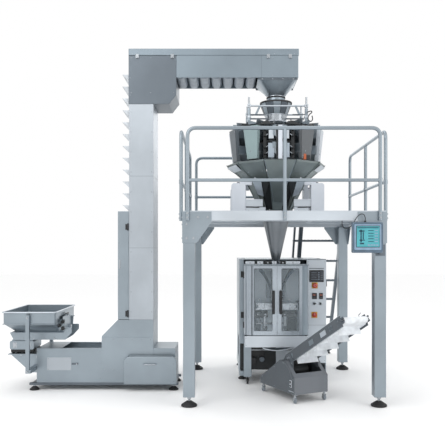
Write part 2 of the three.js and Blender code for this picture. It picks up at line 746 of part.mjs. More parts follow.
const dispersionCone = () => join(
  revolve([[0, BODY_TOP + 8], [186, BODY_TOP + 8], [186, BODY_TOP + 14], [0, BODY_TOP + 66]], [0, 0], 20),
  cylinder('z', 30, [0, 0, BODY_TOP + 5], 8, 12),
);

// The infeed funnel above the dispersion cone, carried by clamps on four posts.
function infeedFunnel() {
  const funnel = [[124, 3100], [130, 3180], [185, 3330], [179, 3330], [124, 3181], [118, 3100], [124, 3100]];
  const shell = revolve(funnel, [0, 0], 20);
  const postX = 328;
  const postY = 238;
  const postBottom = BODY_TOP + GAP;
  const postTop = 3345;
  const crossBarZ = 3245;
  const tieBarZ = 3147;
  const corners = [-postX, postX].flatMap((x) => [-postY, postY].map((y) => [x, y]));
  const posts = corners.map(([x, y]) => {
    return cylinder('z', 11, [x, y, (postBottom + postTop) / 2], postTop - postBottom, 10);
  });
  const crossBars = [-postY, postY].map((y) => cylinder('x', 8, [0, y, crossBarZ], 2 * postX + 40, 8));
  const tieBars = [-postX, postX].map((x) => cylinder('y', 9, [x, 0, tieBarZ], 2 * postY, 8));
  const clampBars = [-postX, postX].map((x) => {
    return box(span(x, Math.sign(x) * 124), [-6, 6], [tieBarZ - 10, tieBarZ + 10]);
  });
  const clamps = corners.map(([x, y]) => {
    return box([x - 20, x + 20], [y - 20, y + 20], [crossBarZ - 18, crossBarZ + 18]);
  });
  return join(shell, posts, crossBars, tieBars, clampBars, clamps);
}

function addWeigher() {
  piece('weigher_base', weigherBase(), 'painted');
  piece('weigher_body', weigherBody(), 'steel');
  piece('hopper_ring', hopperRing(), 'steel');
  piece('discharge_bowl', dischargeBowl(), 'steel');
  piece('discharge_cone', dischargeCone(), 'darkSteel');
  piece('dispersion_cone', dispersionCone(), 'brightSteel');
  piece('infeed_funnel', infeedFunnel(), 'steel');
}

addWeigher();

// ---------------------------------------------------------------------------------------------
// Form fill sealer
// ---------------------------------------------------------------------------------------------

const GUARD = { left: -378, right: 360, hinge: -55, front: -230 };
const DOOR_BOTTOM = 620;
const DOOR_TOP = 1416;
const DOOR_SPLIT = -6;
const DOOR_SKIN = 6;
const CORNER_RADIUS = 78;

function machineFrame() {
  const { left, right, front, rear, bottom, top } = CABINET;
  const wall = 10;
  const shell = cut(
    box([left, right], [front, rear], [bottom, top]),
    box([left + wall, right - wall], [front - 1, rear + 1], [bottom + 60, top - wall]),
    box([left + wall, right - wall], [760, rear + 1], [bottom - 1, bottom + 70]),
    box([left + 150, right - 150], [front - 1, rear + 1], [bottom - 1, bottom + 70]),
    cylinder('z', 70, [0, 0, top], 60, 20),
  );
  const backPlate = box([left + 5, right - 5], [752, 762], [bottom + 55, top - 5]);
  const rearSill = box([left + 5, right - 5], [rear - 60, rear], [bottom, bottom + 60]);
  const stile = box([left, GUARD.left], [front - 30, front + 1], [480, top]);
  const sides = [[GUARD.left, GUARD.left + 8], [GUARD.right - 8, GUARD.right]].map((across) => {
    return box(across, [GUARD.hinge + 8, front + 1], [489, 1432]);
  });
  const roof = cut(
    box([GUARD.left, GUARD.right], [GUARD.front, front + 1], [1420, 1432]),
    cylinder('z', 80, [0, 0, 1426], 60, 20),
  );
  const apron = cut(
    box([GUARD.left, GUARD.right], [GUARD.front, front + 1], [489, 604]),
    box([GUARD.left + 8, GUARD.right - 8], [GUARD.front + 8, front + 2], [480, 610]),
  );
  const lowerLegs = [[GUARD.left, -290], [272, GUARD.right]].map((across) => {
    return box(across, [30, front + 1], [bottom, 495]);
  });
  const feet = [[-386, 370], [560, 370], [-386, 1270], [560, 1270]].map((place) => {
    const pad = [[0, 0], [50, 0], [50, 12], [20, 36], [12, 60]];
    return revolve([...pad, [12, bottom + 2], [0, bottom + 2]], place, 14);
  });
  const castors = [-332, 316].map((x) => join(
    cylinder('x', 36, [x, 66, 36], 24, 16),
    box([x - 14, x + 14], [52, 80], [30, bottom + 2]),
  ));
  return join(shell, backPlate, rearSill, stile, sides, roof, apron, lowerLegs, feet, castors);
}

// A guard door: a sheet bent round at its outer edge, with a shallow window panel and a bar handle.
function guardDoor(side) {
  const hingeX = side < 0 ? GUARD.left : GUARD.right;
  const split = side < 0 ? DOOR_SPLIT - 2 : DOOR_SPLIT + 2;
  const corner = hingeX - side * CORNER_RADIUS;
  const arc = (radius) => [0, 1, 2, 3, 4].map((i) => {
    const angle = (i / 4) * (Math.PI / 2);
    return [corner + side * radius * Math.sin(angle), GUARD.front + CORNER_RADIUS - radius * Math.cos(angle)];
  });
  const outline = [
    [split, GUARD.front],
    ...arc(CORNER_RADIUS),
    [hingeX, GUARD.hinge],
    [hingeX - side * DOOR_SKIN, GUARD.hinge],
    ...arc(CORNER_RADIUS - DOOR_SKIN).reverse(),
    [split, GUARD.front + DOOR_SKIN],
  ];
  const lift = GUARD.front - 2;
  const skin = prism('z', outline.map(([u, v]) => [u, v - 1.5]), [DOOR_BOTTOM, DOOR_TOP]);
  const windowPlace = side < 0 ? [-268, -62] : [48, 246];
  const recess = box(windowPlace, [lift - 1, lift + 2], [672, 1382]);
  const grip = side < 0 ? -50 : 34;
  const handle = join(
    cylinder('z', 13, [grip, lift - 42, 1000], 270, 10),
    [880, 1120].map((z) => box([grip - 8, grip + 8], [lift - 42, lift + 3], [z - 9, z + 9])),
  );
  const hinges = [720, 1300].map((z) => box(
    span(hingeX - side * 2, hingeX + side * 14),
    [GUARD.hinge - 24, GUARD.hinge - 1],
    [z - 35, z + 35],
  ));
  return join(cut(skin, recess), handle, hinges);
}

// The electrical cabinet's face with its screen, temperature controllers and selectors.
function controlBox() {
  const face = 60;
  const body = box([GUARD.right + 12, 606], [face, CABINET.front - GAP], [250, 1480]);
  const screen = box([410, 569], [face - 10, face + 1], [1220, 1350]);
  const controllers = [[435, 493], [519, 565]].map((across) => {
    return box(across, [face - 8, face + 1], [1012, 1084]);
  });
  const selectors = [464, 535].map((x) => cylinder('y', 17, [x, face - 10, 958], 22, 12));
  const stemHole = cylinder('y', 16, [468, face, 1174], 24, 14);
  return cut(join(body, screen, controllers, selectors), stemHole);
}

const estopButton = () => join(
  cylinder('y', 31, [468, 36, 1174], 20, 20),
  cylinder('y', 14, [468, 52.5, 1174], 14, 12),
);

const mainSwitch = () => join(
  cylinder('y', 30, [464, 53, 823], 12, 16),
  box([455, 473], [30, 50], [795, 851]),
);

// The forming tube with its sailor-collar shoulder and its upper flange.
function formingTube() {
  const top = 1462;
  const bottom = 1010;
  const bore = cylinder('z', TUBE_RADIUS - 4, [0, 0, 1240], 500, 20);
  const tube = cylinder('z', TUBE_RADIUS, [0, 0, (top + bottom) / 2], top - bottom, 20);
  const funnel = revolve([[0, 1400], [TUBE_RADIUS - 6, 1400], [TUBE_RADIUS + 8, top], [0, top]], [0, 0], 20);
  const shoulder = [-1, 1].map((side) => prism('y', [
    [side * 205, 1398],
    [side * 150, 1398],
    [side * 50, 1262],
    [side * 50, 1218],
  ], [-95, 60]));
  const flange = box([-205, 205], [62, 98], [1386, 1398]);
  const brace = box([-190, 190], [50, 66], [1380, 1398]);
  return cut(join(tube, funnel, shoulder, flange, brace), bore);
}

// A roll of film on its spindle, in the open rear bay.
function filmRoll() {
  const centre = [90, 1030, 560];
  const spindle = cylinder('x', 20, centre, CABINET.right - CABINET.left - 22, 14);
  const roll = cylinder('x', 185, centre, 440, 28);
  const [x, y, z] = centre;
  const cores = [-232, 232].map((offset) => cylinder('x', 45, [x + offset, y, z], 26, 16));
  return join(spindle, roll, cores);
}

function sealingJaw(side) {
  const face = side < 0 ? [-78, -30] : [30, 78];
  const block = box([-240, 250], face, [895, 975]);
  const carrier = side < 0 ? [-104, -77] : [77, 96];
  const plate = box([-140, 150], carrier, [905, 965]);
  return join(block, plate);
}

// Two belt drives beside the forming tube, tied behind it.
function pullUnit() {
  const belts = [-1, 1].map((side) => box(span(side * 63, side * 112), [-34, 76], [1030, 1190]));
  const tie = box([-112, 112], [70, 96], [1060, 1160]);
  return join(belts, tie);
}

function addFormFillSealer() {
  piece('machine_frame', machineFrame(), 'steel');
  piece('guard_door_left', guardDoor(-1), 'brightSteel');
  piece('guard_door_right', guardDoor(1), 'brightSteel');
  piece('control_box', controlBox(), 'brightSteel');
  piece('estop_button', estopButton(), 'red');
  piece('main_switch', mainSwitch(), 'red');
  piece('forming_tube', formingTube(), 'steel');
  piece('film_roll', filmRoll(), 'film');
  piece('sealing_jaw_front', sealingJaw(-1), 'brightSteel');
  piece('sealing_jaw_rear', sealingJaw(1), 'brightSteel');
  piece('pull_belt_unit', pullUnit(), 'darkSteel');
}

addFormFillSealer();

// ---------------------------------------------------------------------------------------------
// Operator panel on the platform leg
// ---------------------------------------------------------------------------------------------

const PANEL = { x: [670, 975], y: [-1130, -1070], z: [1571, 1877] };
const PANEL_PIN = [962, -1055];

function panelBracket() {
  const legFace = -FRAME_EDGE - GAP;
  const plate = box([925, 1020], [legFace - 8, legFace], [1540, 1655]);
  const pin = cylinder('z', 7, [...PANEL_PIN, 1606], 100, 12);
  const lugs = [1561, 1646].map((z) => box([952, 972], [-1062, legFace - 6], [z - 5, z + 5]));
  return join(plate, pin, lugs);
}

function operatorPanel() {
  const housing = box(PANEL.x, PANEL.y, PANEL.z);
  const bezel = box([688, 957], [PANEL.y[0] - 6, PANEL.y[0] + 1], [1600, 1858]);
  const screen = box([710, 938], [PANEL.y[0] - 8, PANEL.y[0]], [1632, 1836]);
  const glandPlace = [803, -1100];
  const gland = cylinder('z', 14, [...glandPlace, PANEL.z[1] + 9], 20, 10);
  const sleeve = cut(
    join(
      cylinder('z', 12, [...PANEL_PIN, 1605], 50, 12),
      box([PANEL_PIN[0] - 8, PANEL_PIN[0] + 8], [PANEL.y[1] - 2, PANEL_PIN[1] - 6], [1580, 1630]),
    ),
    cylinder('z', 7 + GAP, [...PANEL_PIN, 1605], 80, 12),
  );
  return join(housing, cut(bezel, screen), gland, sleeve);
}

const CABLE_ROUTE = [
  [803, -1100, 1896.5],
  [803, -1100, 1925],
  [790, -1100, 1956],
  [762, -1099, 1962],
  [735, -1094, 1944],
  [712, -1078, 1912],
  [692, -1058, 1872],
  [666, -1048, 1838],
  [635, -1032, 1820],
  [607, -1012, 1826],
  [594, -996, 1858],
  [592, -992, 1899],
];

function panelCable() {
  const curve = new THREE.CatmullRomCurve3(CABLE_ROUTE.map((point) => new THREE.Vector3(...point)));
  return sweep(curve.getSpacedPoints(24), 4, 8);
}

function addOperatorPanel() {
  piece('panel_bracket', panelBracket(), 'darkSteel');
  piece('operator_panel', operatorPanel(), 'plastic');
  piece('panel_cable', panelCable(), 'rubber');
}

addOperatorPanel();

// ---------------------------------------------------------------------------------------------
// Take-off conveyor, in its own frame: local +X is the way the belt climbs
// ---------------------------------------------------------------------------------------------

const BELT_LOW = [160, 448]; // tail roller centre, local x and height
const BELT_LENGTH = 1022;
const BELT_RADIUS = 27;
const BELT_HALF = 138;
const SIDE_PLATE_HALF = 58; // half the depth of the plates beside the belt

function alongBelt(u, w) {
  const [c, s] = [Math.cos(CONVEYOR_CLIMB), Math.sin(CONVEYOR_CLIMB)];
  return [BELT_LOW[0] + u * c - w * s, BELT_LOW[1] + u * s + w * c];
}

function stadium(radius) {
  const outline = [];
  for (let i = 0; i <= 8; i += 1) {
    const angle = -Math.PI / 2 + (i / 8) * Math.PI;
    outline.push(alongBelt(BELT_LENGTH + radius * Math.cos(angle), radius * Math.sin(angle)));
  }
  for (let i = 0; i <= 8; i += 1) {
    const angle = Math.PI / 2 + (i / 8) * Math.PI;
    outline.push(alongBelt(radius * Math.cos(angle), radius * Math.sin(angle)));
  }
  return outline;
}

function conveyorBelt() {
  const loop = cut(
    prism('y', stadium(BELT_RADIUS + 4), [-BELT_HALF, BELT_HALF]),
    prism('y', stadium(BELT_RADIUS), [-BELT_HALF - 1, BELT_HALF + 1]),
  );
  const pitch = 200;
  const reach = { above: 63, below: 100 }; // from the belt's middle line to the flights' tips
  const flights = [];
  for (let u = pitch / 2; u < BELT_LENGTH; u += pitch) {
    [[BELT_RADIUS + 3, reach.above], [-BELT_RADIUS - 3, -reach.below]].forEach(([near, far]) => {
      const corners = [[u - 4, near], [u + 4, near], [u + 4, far], [u - 4, far]];
      const outline = corners.map((corner) => alongBelt(...corner));
      flights.push(prism('y', outline, [-BELT_HALF + 6, BELT_HALF - 6]));
    });
  }
  return join(loop, flights);
}

function conveyorFrame() {
  const plateOutline = [
    alongBelt(-46, -SIDE_PLATE_HALF),
    alongBelt(BELT_LENGTH - 10, -SIDE_PLATE_HALF),
    alongBelt(BELT_LENGTH - 10, SIDE_PLATE_HALF),
    alongBelt(-46, SIDE_PLATE_HALF),
  ];
  const headLug = [
    alongBelt(BELT_LENGTH - 12, -20),
    alongBelt(BELT_LENGTH + 34, -20),
    alongBelt(BELT_LENGTH + 34, 20),
    alongBelt(BELT_LENGTH - 12, 20),
  ];
  const plates = [-1, 1].map((side) => {
    const plate = prism('y', plateOutline, span(side * 146, side * 154));
    const lug = prism('y', headLug, span(side * 146, side * 154));
    const [x, z] = alongBelt(BELT_LENGTH, 0);
    return cut(join(plate, lug), cylinder('y', 10.5, [x, side * 150, z], 30, 12));
  });
  const ties = [80, 330, 580, 830].map((u) => {
    const [x, z] = alongBelt(u, 0);
    return cylinder('y', 9, [x, 0, z], 296, 8);
  });
  const [tailX, tailZ] = BELT_LOW;
  const tailRoller = cylinder('y', BELT_RADIUS - 3 * GAP, [tailX, 0, tailZ], 2 * BELT_HALF, 16);
  const tailAxle = cylinder('y', 10, [tailX, 0, tailZ], 296, 10);
  return join(plates, ties, tailRoller, tailAxle);
}

function headRoller() {
  const [x, z] = alongBelt(BELT_LENGTH, 0);
  return join(
    cylinder('y', BELT_RADIUS - 3 * GAP, [x, 0, z], 2 * BELT_HALF, 16),
    cylinder('y', 10, [x, 0, z], 330, 12),
  );
}

function conveyorBase() {
  const halfWidth = 210;
  const outline = [[-350, 95], [350, 95], [350, 272], [165, 425], [60, 415], [-350, 167]];
  const inside = [[-343, 102], [343, 102], [343, 269], [163, 417], [63, 407], [-343, 163]];
  const shell = cut(
    prism('y', outline, [-halfWidth, halfWidth]),
    prism('y', inside, [-halfWidth + 7, halfWidth - 7]),
    box([40, 300], [-172, 172], [270, 480]),
  );
  const cheeks = [-1, 1].map((side) => {
    const cheek = [[70, 380], [250, 330], [250, 440], [190, 500], [110, 480], [70, 416]];
    return prism('y', cheek, span(side * (154 + GAP), side * 174));
  });
  const castors = [-320, 320].flatMap((x) => [-185, 185].map((y) => join(
    cylinder('y', 30, [x, y, 30], 20, 16),
    box([x - 14, x + 14], [y - 17, y + 17], [55, 97]),
    box([x - 12, x + 12], [y - 17, y - 9.5], [22, 60]),
    box([x - 12, x + 12], [y + 9.5, y + 17], [22, 60]),
  )));
  return join(shell, cheeks, castors);
}

function addConveyor() {
  const conveyor = new THREE.Group();
  conveyor.position.set(144, -510, 0);
  conveyor.rotation.z = CONVEYOR_TURN;
  line.add(conveyor);
  piece('conveyor_base', conveyorBase(), 'darkSteel', conveyor);
  piece('conveyor_frame', conveyorFrame(), 'darkSteel', conveyor);
  piece('conveyor_belt', conveyorBelt(), 'whiteBelt', conveyor);
  piece('conveyor_head_roller', headRoller(), 'rubber', conveyor);
}

addConveyor();

// The finished line stands with its origin at the centre of the bottom of its own box.
const bounds = new THREE.Box3().setFromObject(line, true);
line.position.set(-(bounds.min.x + bounds.max.x) / 2, -(bounds.min.y + bounds.max.y) / 2, -bounds.min.z);

export default line;
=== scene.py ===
"""The visual model of a weigh-and-pack line: elevator, feeder, platform, weigher, sealer and conveyor."""
import math
from itertools import product

import bmesh
import bpy
from mathutils import Matrix, Vector


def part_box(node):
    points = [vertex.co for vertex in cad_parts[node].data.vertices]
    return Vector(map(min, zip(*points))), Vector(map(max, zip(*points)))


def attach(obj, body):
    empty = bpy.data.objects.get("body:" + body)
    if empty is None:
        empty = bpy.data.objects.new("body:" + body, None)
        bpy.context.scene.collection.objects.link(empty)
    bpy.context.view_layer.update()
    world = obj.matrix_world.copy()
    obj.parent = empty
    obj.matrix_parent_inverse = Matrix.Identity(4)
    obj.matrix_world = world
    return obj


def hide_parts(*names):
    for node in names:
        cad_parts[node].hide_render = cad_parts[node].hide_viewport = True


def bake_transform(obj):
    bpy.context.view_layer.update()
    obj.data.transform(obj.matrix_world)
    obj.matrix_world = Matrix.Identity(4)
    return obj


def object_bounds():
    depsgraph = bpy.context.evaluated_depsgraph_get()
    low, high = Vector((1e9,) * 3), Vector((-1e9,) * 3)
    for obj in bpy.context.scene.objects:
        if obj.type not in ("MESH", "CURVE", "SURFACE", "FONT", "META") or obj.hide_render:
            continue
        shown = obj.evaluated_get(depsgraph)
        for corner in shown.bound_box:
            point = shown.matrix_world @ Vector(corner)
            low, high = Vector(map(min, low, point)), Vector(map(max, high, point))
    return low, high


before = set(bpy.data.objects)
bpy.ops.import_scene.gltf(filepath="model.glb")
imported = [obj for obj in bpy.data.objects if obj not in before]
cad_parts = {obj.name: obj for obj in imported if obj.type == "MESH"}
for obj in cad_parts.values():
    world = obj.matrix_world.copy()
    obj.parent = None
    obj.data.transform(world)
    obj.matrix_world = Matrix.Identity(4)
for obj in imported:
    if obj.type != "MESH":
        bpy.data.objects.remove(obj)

CAD_LOW, CAD_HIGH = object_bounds()


def centre(node):
    low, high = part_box(node)
    return (low + high) / 2


# The sealer's axis: the discharge cone, the forming tube and the weigher all stand on it.
AXIS = centre("discharge_cone")


def on_line(x, y, z):
    """A place in metres from the foot of the sealer's axis, in the row frame."""
    return Vector((AXIS.x + x, AXIS.y + y, z))


# --------------------------------------------------------------------------------------------
# Camera and light
# --------------------------------------------------------------------------------------------

EYE_HEIGHT = 1.62
EYE_LEFT = 0.631  # the camera stands left of the sealer's axis and looks straight along +Y
EYE_BACK = 7.33
LENS = 50.16
SHIFT_UP = 0.0775  # of the frame's width: the horizon is below its middle


def add_camera():
    data = bpy.data.cameras.new("camera")
    data.lens = LENS
    data.sensor_width = 36
    data.shift_y = SHIFT_UP
    data.clip_end = 100
    camera = bpy.data.objects.new("camera", data)
    camera.location = on_line(-EYE_LEFT, -EYE_BACK, EYE_HEIGHT)
    camera.rotation_euler = (math.pi / 2, 0, 0)
    bpy.context.scene.collection.objects.link(camera)
    bpy.context.scene.camera = camera


def add_area_light(name, place, target, size, power, colour=(1, 1, 1)):
    data = bpy.data.lights.new(name, "AREA")
    data.shape = "RECTANGLE"
    data.size, data.size_y = size
    data.energy = power
    data.color = colour
    light = bpy.data.objects.new(name, data)
    light.location = place
    light.rotation_euler = (Vector(target) - Vector(place)).to_track_quat("-Z", "Y").to_euler()
    bpy.context.scene.collection.objects.link(light)


def add_studio():
    middle = (CAD_LOW + CAD_HIGH) / 2
    add_area_light("key_light", middle + Vector((-3.5, -6.0, 4.5)), middle, (4, 4), 150)
    add_area_light("fill_light", middle + Vector((5.5, -4.5, 2.0)), middle, (4, 5), 60)
    add_area_light("top_light", middle + Vector((0, 0.5, 5.5)), middle, (6, 5), 70)
    add_area_light("back_light", middle + Vector((1.5, 7.0, 3.0)), middle, (5, 4), 60)
    world = bpy.data.worlds.new("studio")
    bpy.context.scene.world = world
    world.use_nodes = True
    background = world.node_tree.nodes["Background"]
    background.inputs["Color"].default_value = (1.0, 1.0, 1.0, 1)
    background.inputs["Strength"].default_value = 1.0
    bpy.context.scene.view_settings.view_transform = "Standard"


def add_floor():
    mesh = bpy.data.meshes.new("studio_floor")
    reach = 30
    corners = [(-reach, -reach, 0), (reach, -reach, 0), (reach, reach, 0), (-reach, reach, 0)]
    mesh.from_pydata(corners, [], [(0, 1, 2, 3)])
    floor = bpy.data.objects.new("studio_floor", mesh)
    floor.location.z = CAD_LOW.z - 0.0005
    bpy.context.scene.collection.objects.link(floor)
    material = bpy.data.materials.new("studio_floor")
    material.use_nodes = True
    shader = material.node_tree.nodes["Principled BSDF"]
    shader.inputs["Base Color"].default_value = (0.98, 0.98, 0.98, 1)
    shader.inputs["Roughness"].default_value = 0.9
    mesh.materials.append(material)


# --------------------------------------------------------------------------------------------
# Materials
# --------------------------------------------------------------------------------------------


class Nodes:
    """A material's node tree, with short ways to add what every finish here needs."""

    def __init__(self, name):
        self.material = bpy.data.materials.new(name)
        self.material.use_nodes = True
        self.tree = self.material.node_tree
        self.shader = self.tree.nodes["Principled BSDF"]
        self.place = self.tree.nodes.new("ShaderNodeTexCoord")

    def link(self, source, target):
        self.tree.links.new(source, target)

    def noise(self, scale, stretch=(1, 1, 1), detail=3.0):
        mapping = self.tree.nodes.new("ShaderNodeMapping")
        mapping.inputs["Scale"].default_value = stretch
        self.link(self.place.outputs["Object"], mapping.inputs["Vector"])
        noise = self.tree.nodes.new("ShaderNodeTexNoise")
        noise.inputs["Scale"].default_value = scale
        noise.inputs["Detail"].default_value = detail
        self.link(mapping.outputs["Vector"], noise.inputs["Vector"])
        return noise.outputs["Fac"]

    def ramp(self, factor, low, high, start=0.35, end=0.65):
        ramp = self.tree.nodes.new("ShaderNodeValToRGB")
        first, last = ramp.color_ramp.elements
        first.position, last.position = start, end
        first.color, last.color = (*low, 1), (*high, 1)
        self.link(factor, ramp.inputs["Fac"])
        return ramp.outputs["Color"]

    def span(self, factor, low, high):
        scale = self.tree.nodes.new("ShaderNodeMapRange")
        scale.inputs["From Min"].default_value = 0.3
        scale.inputs["From Max"].default_value = 0.7
        scale.inputs["To Min"].default_value = low
        scale.inputs["To Max"].default_value = high
        self.link(factor, scale.inputs["Value"])
        return scale.outputs["Result"]

    def bump(self, factor, strength, distance, below=None):
        bump = self.tree.nodes.new("ShaderNodeBump")
        bump.inputs["Strength"].default_value = strength
        bump.inputs["Distance"].default_value = distance
        self.link(factor, bump.inputs["Height"])
        if below is not None:
            self.link(below, bump.inputs["Normal"])
        self.link(bump.outputs["Normal"], self.shader.inputs["Normal"])
        return bump.outputs["Normal"]


def shade(colour, factor):
    return tuple(min(1.0, channel * factor) for channel in colour)


GRAIN_ALONG = {"x": (1, 60, 60), "y": (60, 1, 60), "z": (60, 60, 1)}


def brushed_metal(name, colour, roughness, along="z", metallic=0.85, cloud=0.10, grain=0.04):
    """Brushed sheet: fine grain along one direction, soft hazing over it and slight waviness."""
    nodes = Nodes(name)
    shader = nodes.shader
    haze = nodes.noise(1.7, detail=4)
    streaks = nodes.noise(9, GRAIN_ALONG[along], 2)
    colour_low, colour_high = shade(colour, 1 - cloud), shade(colour, 1 + cloud)
    base = nodes.ramp(haze, colour_low, colour_high, 0.3, 0.7)
    fine = nodes.ramp(streaks, (1 - grain,) * 3, (1,) * 3, 0.3, 0.7)
    mix = nodes.tree.nodes.new("ShaderNodeMix")
    mix.data_type = "RGBA"
    mix.blend_type = "MULTIPLY"
    mix.inputs["Factor"].default_value = 1
    nodes.link(base, mix.inputs["A"])
    nodes.link(fine, mix.inputs["B"])
    nodes.link(mix.outputs["Result"], shader.inputs["Base Color"])
    shader.inputs["Metallic"].default_value = metallic
    nodes.link(nodes.span(streaks, roughness - 0.06, roughness + 0.07), shader.inputs["Roughness"])
    wave = nodes.bump(nodes.noise(2.2, detail=1), 0.25, 0.004)
    nodes.bump(streaks, 0.12, 0.0006, below=wave)
    return nodes.material


def painted_metal(name, colour, roughness=0.42):
    """Powder coat: even colour with faint soiling and orange peel."""
    nodes = Nodes(name)
    base = nodes.ramp(nodes.noise(3.0, detail=5), shade(colour, 0.93), colour)
    nodes.link(base, nodes.shader.inputs["Base Color"])
    nodes.link(
        nodes.span(nodes.noise(40), roughness - 0.05, roughness + 0.06), nodes.shader.inputs["Roughness"],
    )
    nodes.bump(nodes.noise(420, detail=1), 0.10, 0.0004)
    return nodes.material


def moulded(name, colour, roughness, texture=300, cloud=0.12, strength=0.25):
    """Moulded rubber or plastic with a fine spark texture and handling marks."""
    nodes = Nodes(name)
    base = nodes.ramp(nodes.noise(14, detail=5), shade(colour, 1 - cloud), shade(colour, 1 + cloud))
    nodes.link(base, nodes.shader.inputs["Base Color"])
    nodes.link(
        nodes.span(nodes.noise(60), roughness - 0.08, roughness + 0.08), nodes.shader.inputs["Roughness"],
    )
    nodes.bump(nodes.noise(texture, detail=2), strength, 0.0005)
    return nodes.material


def clear_pane(name, tint):
    """A clear polycarbonate pane with a faint haze."""
    nodes = Nodes(name)
    shader = nodes.shader
    shader.inputs["Base Color"].default_value = (*tint, 1)
    shader.inputs["Alpha"].default_value = 0.10
    nodes.link(nodes.span(nodes.noise(5), 0.04, 0.12), shader.inputs["Roughness"])
    nodes.bump(nodes.noise(2.5, detail=1), 0.2, 0.003)
    return nodes.material


def lit_screen(name, colour, strength=0.5):
    """A lit display: even colour, slightly uneven backlight."""
    nodes = Nodes(name)
    tone = nodes.ramp(nodes.noise(8, detail=2), shade(colour, 0.9), shade(colour, 1.08))
    nodes.link(tone, nodes.shader.inputs["Base Color"])
    nodes.link(tone, nodes.shader.inputs["Emission Color"])
    nodes.shader.inputs["Emission Strength"].default_value = strength
    nodes.link(nodes.span(nodes.noise(30), 0.18, 0.3), nodes.shader.inputs["Roughness"])
    return nodes.material


STEEL = (0.31, 0.36, 0.40)
MATERIALS = {
    "steel": brushed_metal("brushed_steel", STEEL, 0.36, "z"),
    "steel_level": brushed_metal("brushed_steel_level", STEEL, 0.36, "x"),
    "casing": brushed_metal("casing_steel", (0.25, 0.30, 0.34), 0.42, "x"),
    "column": brushed_metal("column_steel", (0.44, 0.48, 0.52), 0.42, "z"),
    "dark": brushed_metal("dark_steel", (0.15, 0.175, 0.20), 0.42, "z"),
    "cone_steel": brushed_metal("cone_steel", (0.20, 0.22, 0.24), 0.30, "z", cloud=0.25),
    "bright": brushed_metal("bright_steel", (0.58, 0.63, 0.68), 0.38, "x", metallic=0.7),
    "polished": brushed_metal("polished_steel", (0.42, 0.45, 0.48), 0.24, "z", metallic=0.95, grain=0.02),
    "blasted": brushed_metal("blasted_steel", (0.27, 0.31, 0.31), 0.5, "z", metallic=0.7, cloud=0.32),
    "hollow_dark": brushed_metal("shadowed_steel", (0.035, 0.038, 0.04), 0.5, "z", metallic=0.5),
    "drive_box": painted_metal("drive_housing_paint", (0.10, 0.11, 0.12), 0.45),
    # Three colours for the one stainless head cover, each a painted reflection of what that cover faces.
    "painted_reflection_green": painted_metal("cover_with_painted_reflection_green", (0.27, 0.36, 0.37), 0.45),
    "painted_reflection_grey": painted_metal("cover_with_painted_reflection_grey", (0.13, 0.14, 0.15), 0.45),
    "painted_reflection_slate": painted_metal("cover_with_painted_reflection_slate", (0.12, 0.14, 0.16), 0.42),
    "pale_blue": painted_metal("pale_blue_cover", (0.36, 0.42, 0.48), 0.42),
    "grey_paint": painted_metal("grey_paint", (0.085, 0.09, 0.095), 0.48),
    "white_paint": painted_metal("white_paint", (0.66, 0.70, 0.76)),
    "shaded_bucket": moulded("shaded_bucket_plastic", (0.34, 0.39, 0.44), 0.5),
    "bucket": moulded("bucket_plastic", (0.60, 0.64, 0.68), 0.42),
    "conveyor_side": painted_metal("conveyor_side", (0.085, 0.10, 0.115), 0.45),
    "conveyor_end": painted_metal("conveyor_end", (0.16, 0.175, 0.195), 0.42),
    "castor_grey": moulded("castor_tyre", (0.22, 0.25, 0.28), 0.5),
    "seal_grey": moulded("seal_rubber", (0.14, 0.16, 0.18), 0.55),
    "core_board": moulded("core_board", (0.33, 0.24, 0.15), 0.8, texture=120),
    "collar": brushed_metal("collar_steel", (0.035, 0.055, 0.08), 0.35, "x"),
    "door_steel": brushed_metal("door_steel", (0.42, 0.47, 0.52), 0.30, "z", cloud=0.14),
    # The sealer's inner plate: pale blue raised above its own paint so the shaded inside reads as lit:
    # painted light.
    "inner_plate_painted_light": painted_metal("inner_plate_painted_light", (0.78, 0.88, 0.97), 0.4),
    "screen_frame": moulded("screen_frame", (0.025, 0.03, 0.04), 0.4),
    "screen_text": lit_screen("screen_text", (0.18, 0.22, 0.27), 0.1),
    "digit": lit_screen("meter_digit", (0.35, 0.12, 0.08), 0.3),
    "rubber": moulded("black_rubber", (0.018, 0.018, 0.02), 0.7, cloud=0.3),
    "black": moulded("black_plastic", (0.014, 0.015, 0.017), 0.45, cloud=0.3),
    "belt": moulded("white_belt", (0.72, 0.75, 0.78), 0.55, texture=160),
    "film": moulded("film_web", (0.62, 0.68, 0.72), 0.28, texture=90, strength=0.1),
    "panel": moulded("panel_housing", (0.085, 0.13, 0.18), 0.4),
    "bezel": moulded("panel_bezel", (0.21, 0.31, 0.42), 0.38),
    "red": moulded("red_plastic", (0.50, 0.06, 0.035), 0.35),
    "yellow": moulded("yellow_plastic", (0.62, 0.36, 0.04), 0.45),
    "orange": moulded("orange_plastic", (0.50, 0.11, 0.03), 0.45),
    "pane": clear_pane("clear_pane", (0.62, 0.72, 0.78)),
    "screen": lit_screen("panel_screen", (0.06, 0.30, 0.34), 0.25),
    "dark_screen": lit_screen("machine_screen", (0.02, 0.024, 0.032), 0.05),
    "screen_line": lit_screen("screen_line", (0.012, 0.05, 0.08), 0.05),
}

# --------------------------------------------------------------------------------------------
# Making pieces
# --------------------------------------------------------------------------------------------

SMOOTH_ANGLE = math.radians(35)

# Radii of the screw and bolt heads, from a window's screws to the conveyor's pivot bolt.
TINY_HEAD = 0.004
FINE_HEAD = 0.0045
SMALL_HEAD = 0.005
MEDIUM_HEAD = 0.006
LARGE_HEAD = 0.007
FRAME_HEAD = 0.008
GUSSET_HEAD = 0.009
PIVOT_HEAD = 0.016
FOOT_OF_AXIS = on_line(0, 0, 0)
AT_AXIS = Matrix.Translation(FOOT_OF_AXIS)
TO_FRONT = (0, -1, 0)
RIGHT = (1, 0, 0)
TO_REAR = (0, 1, 0)


# Where (across, across, along) values go in (x, y, z), by the axis that "along" means.
AXIS_ORDER = {"x": (2, 0, 1), "y": (0, 2, 1), "z": (0, 1, 2)}


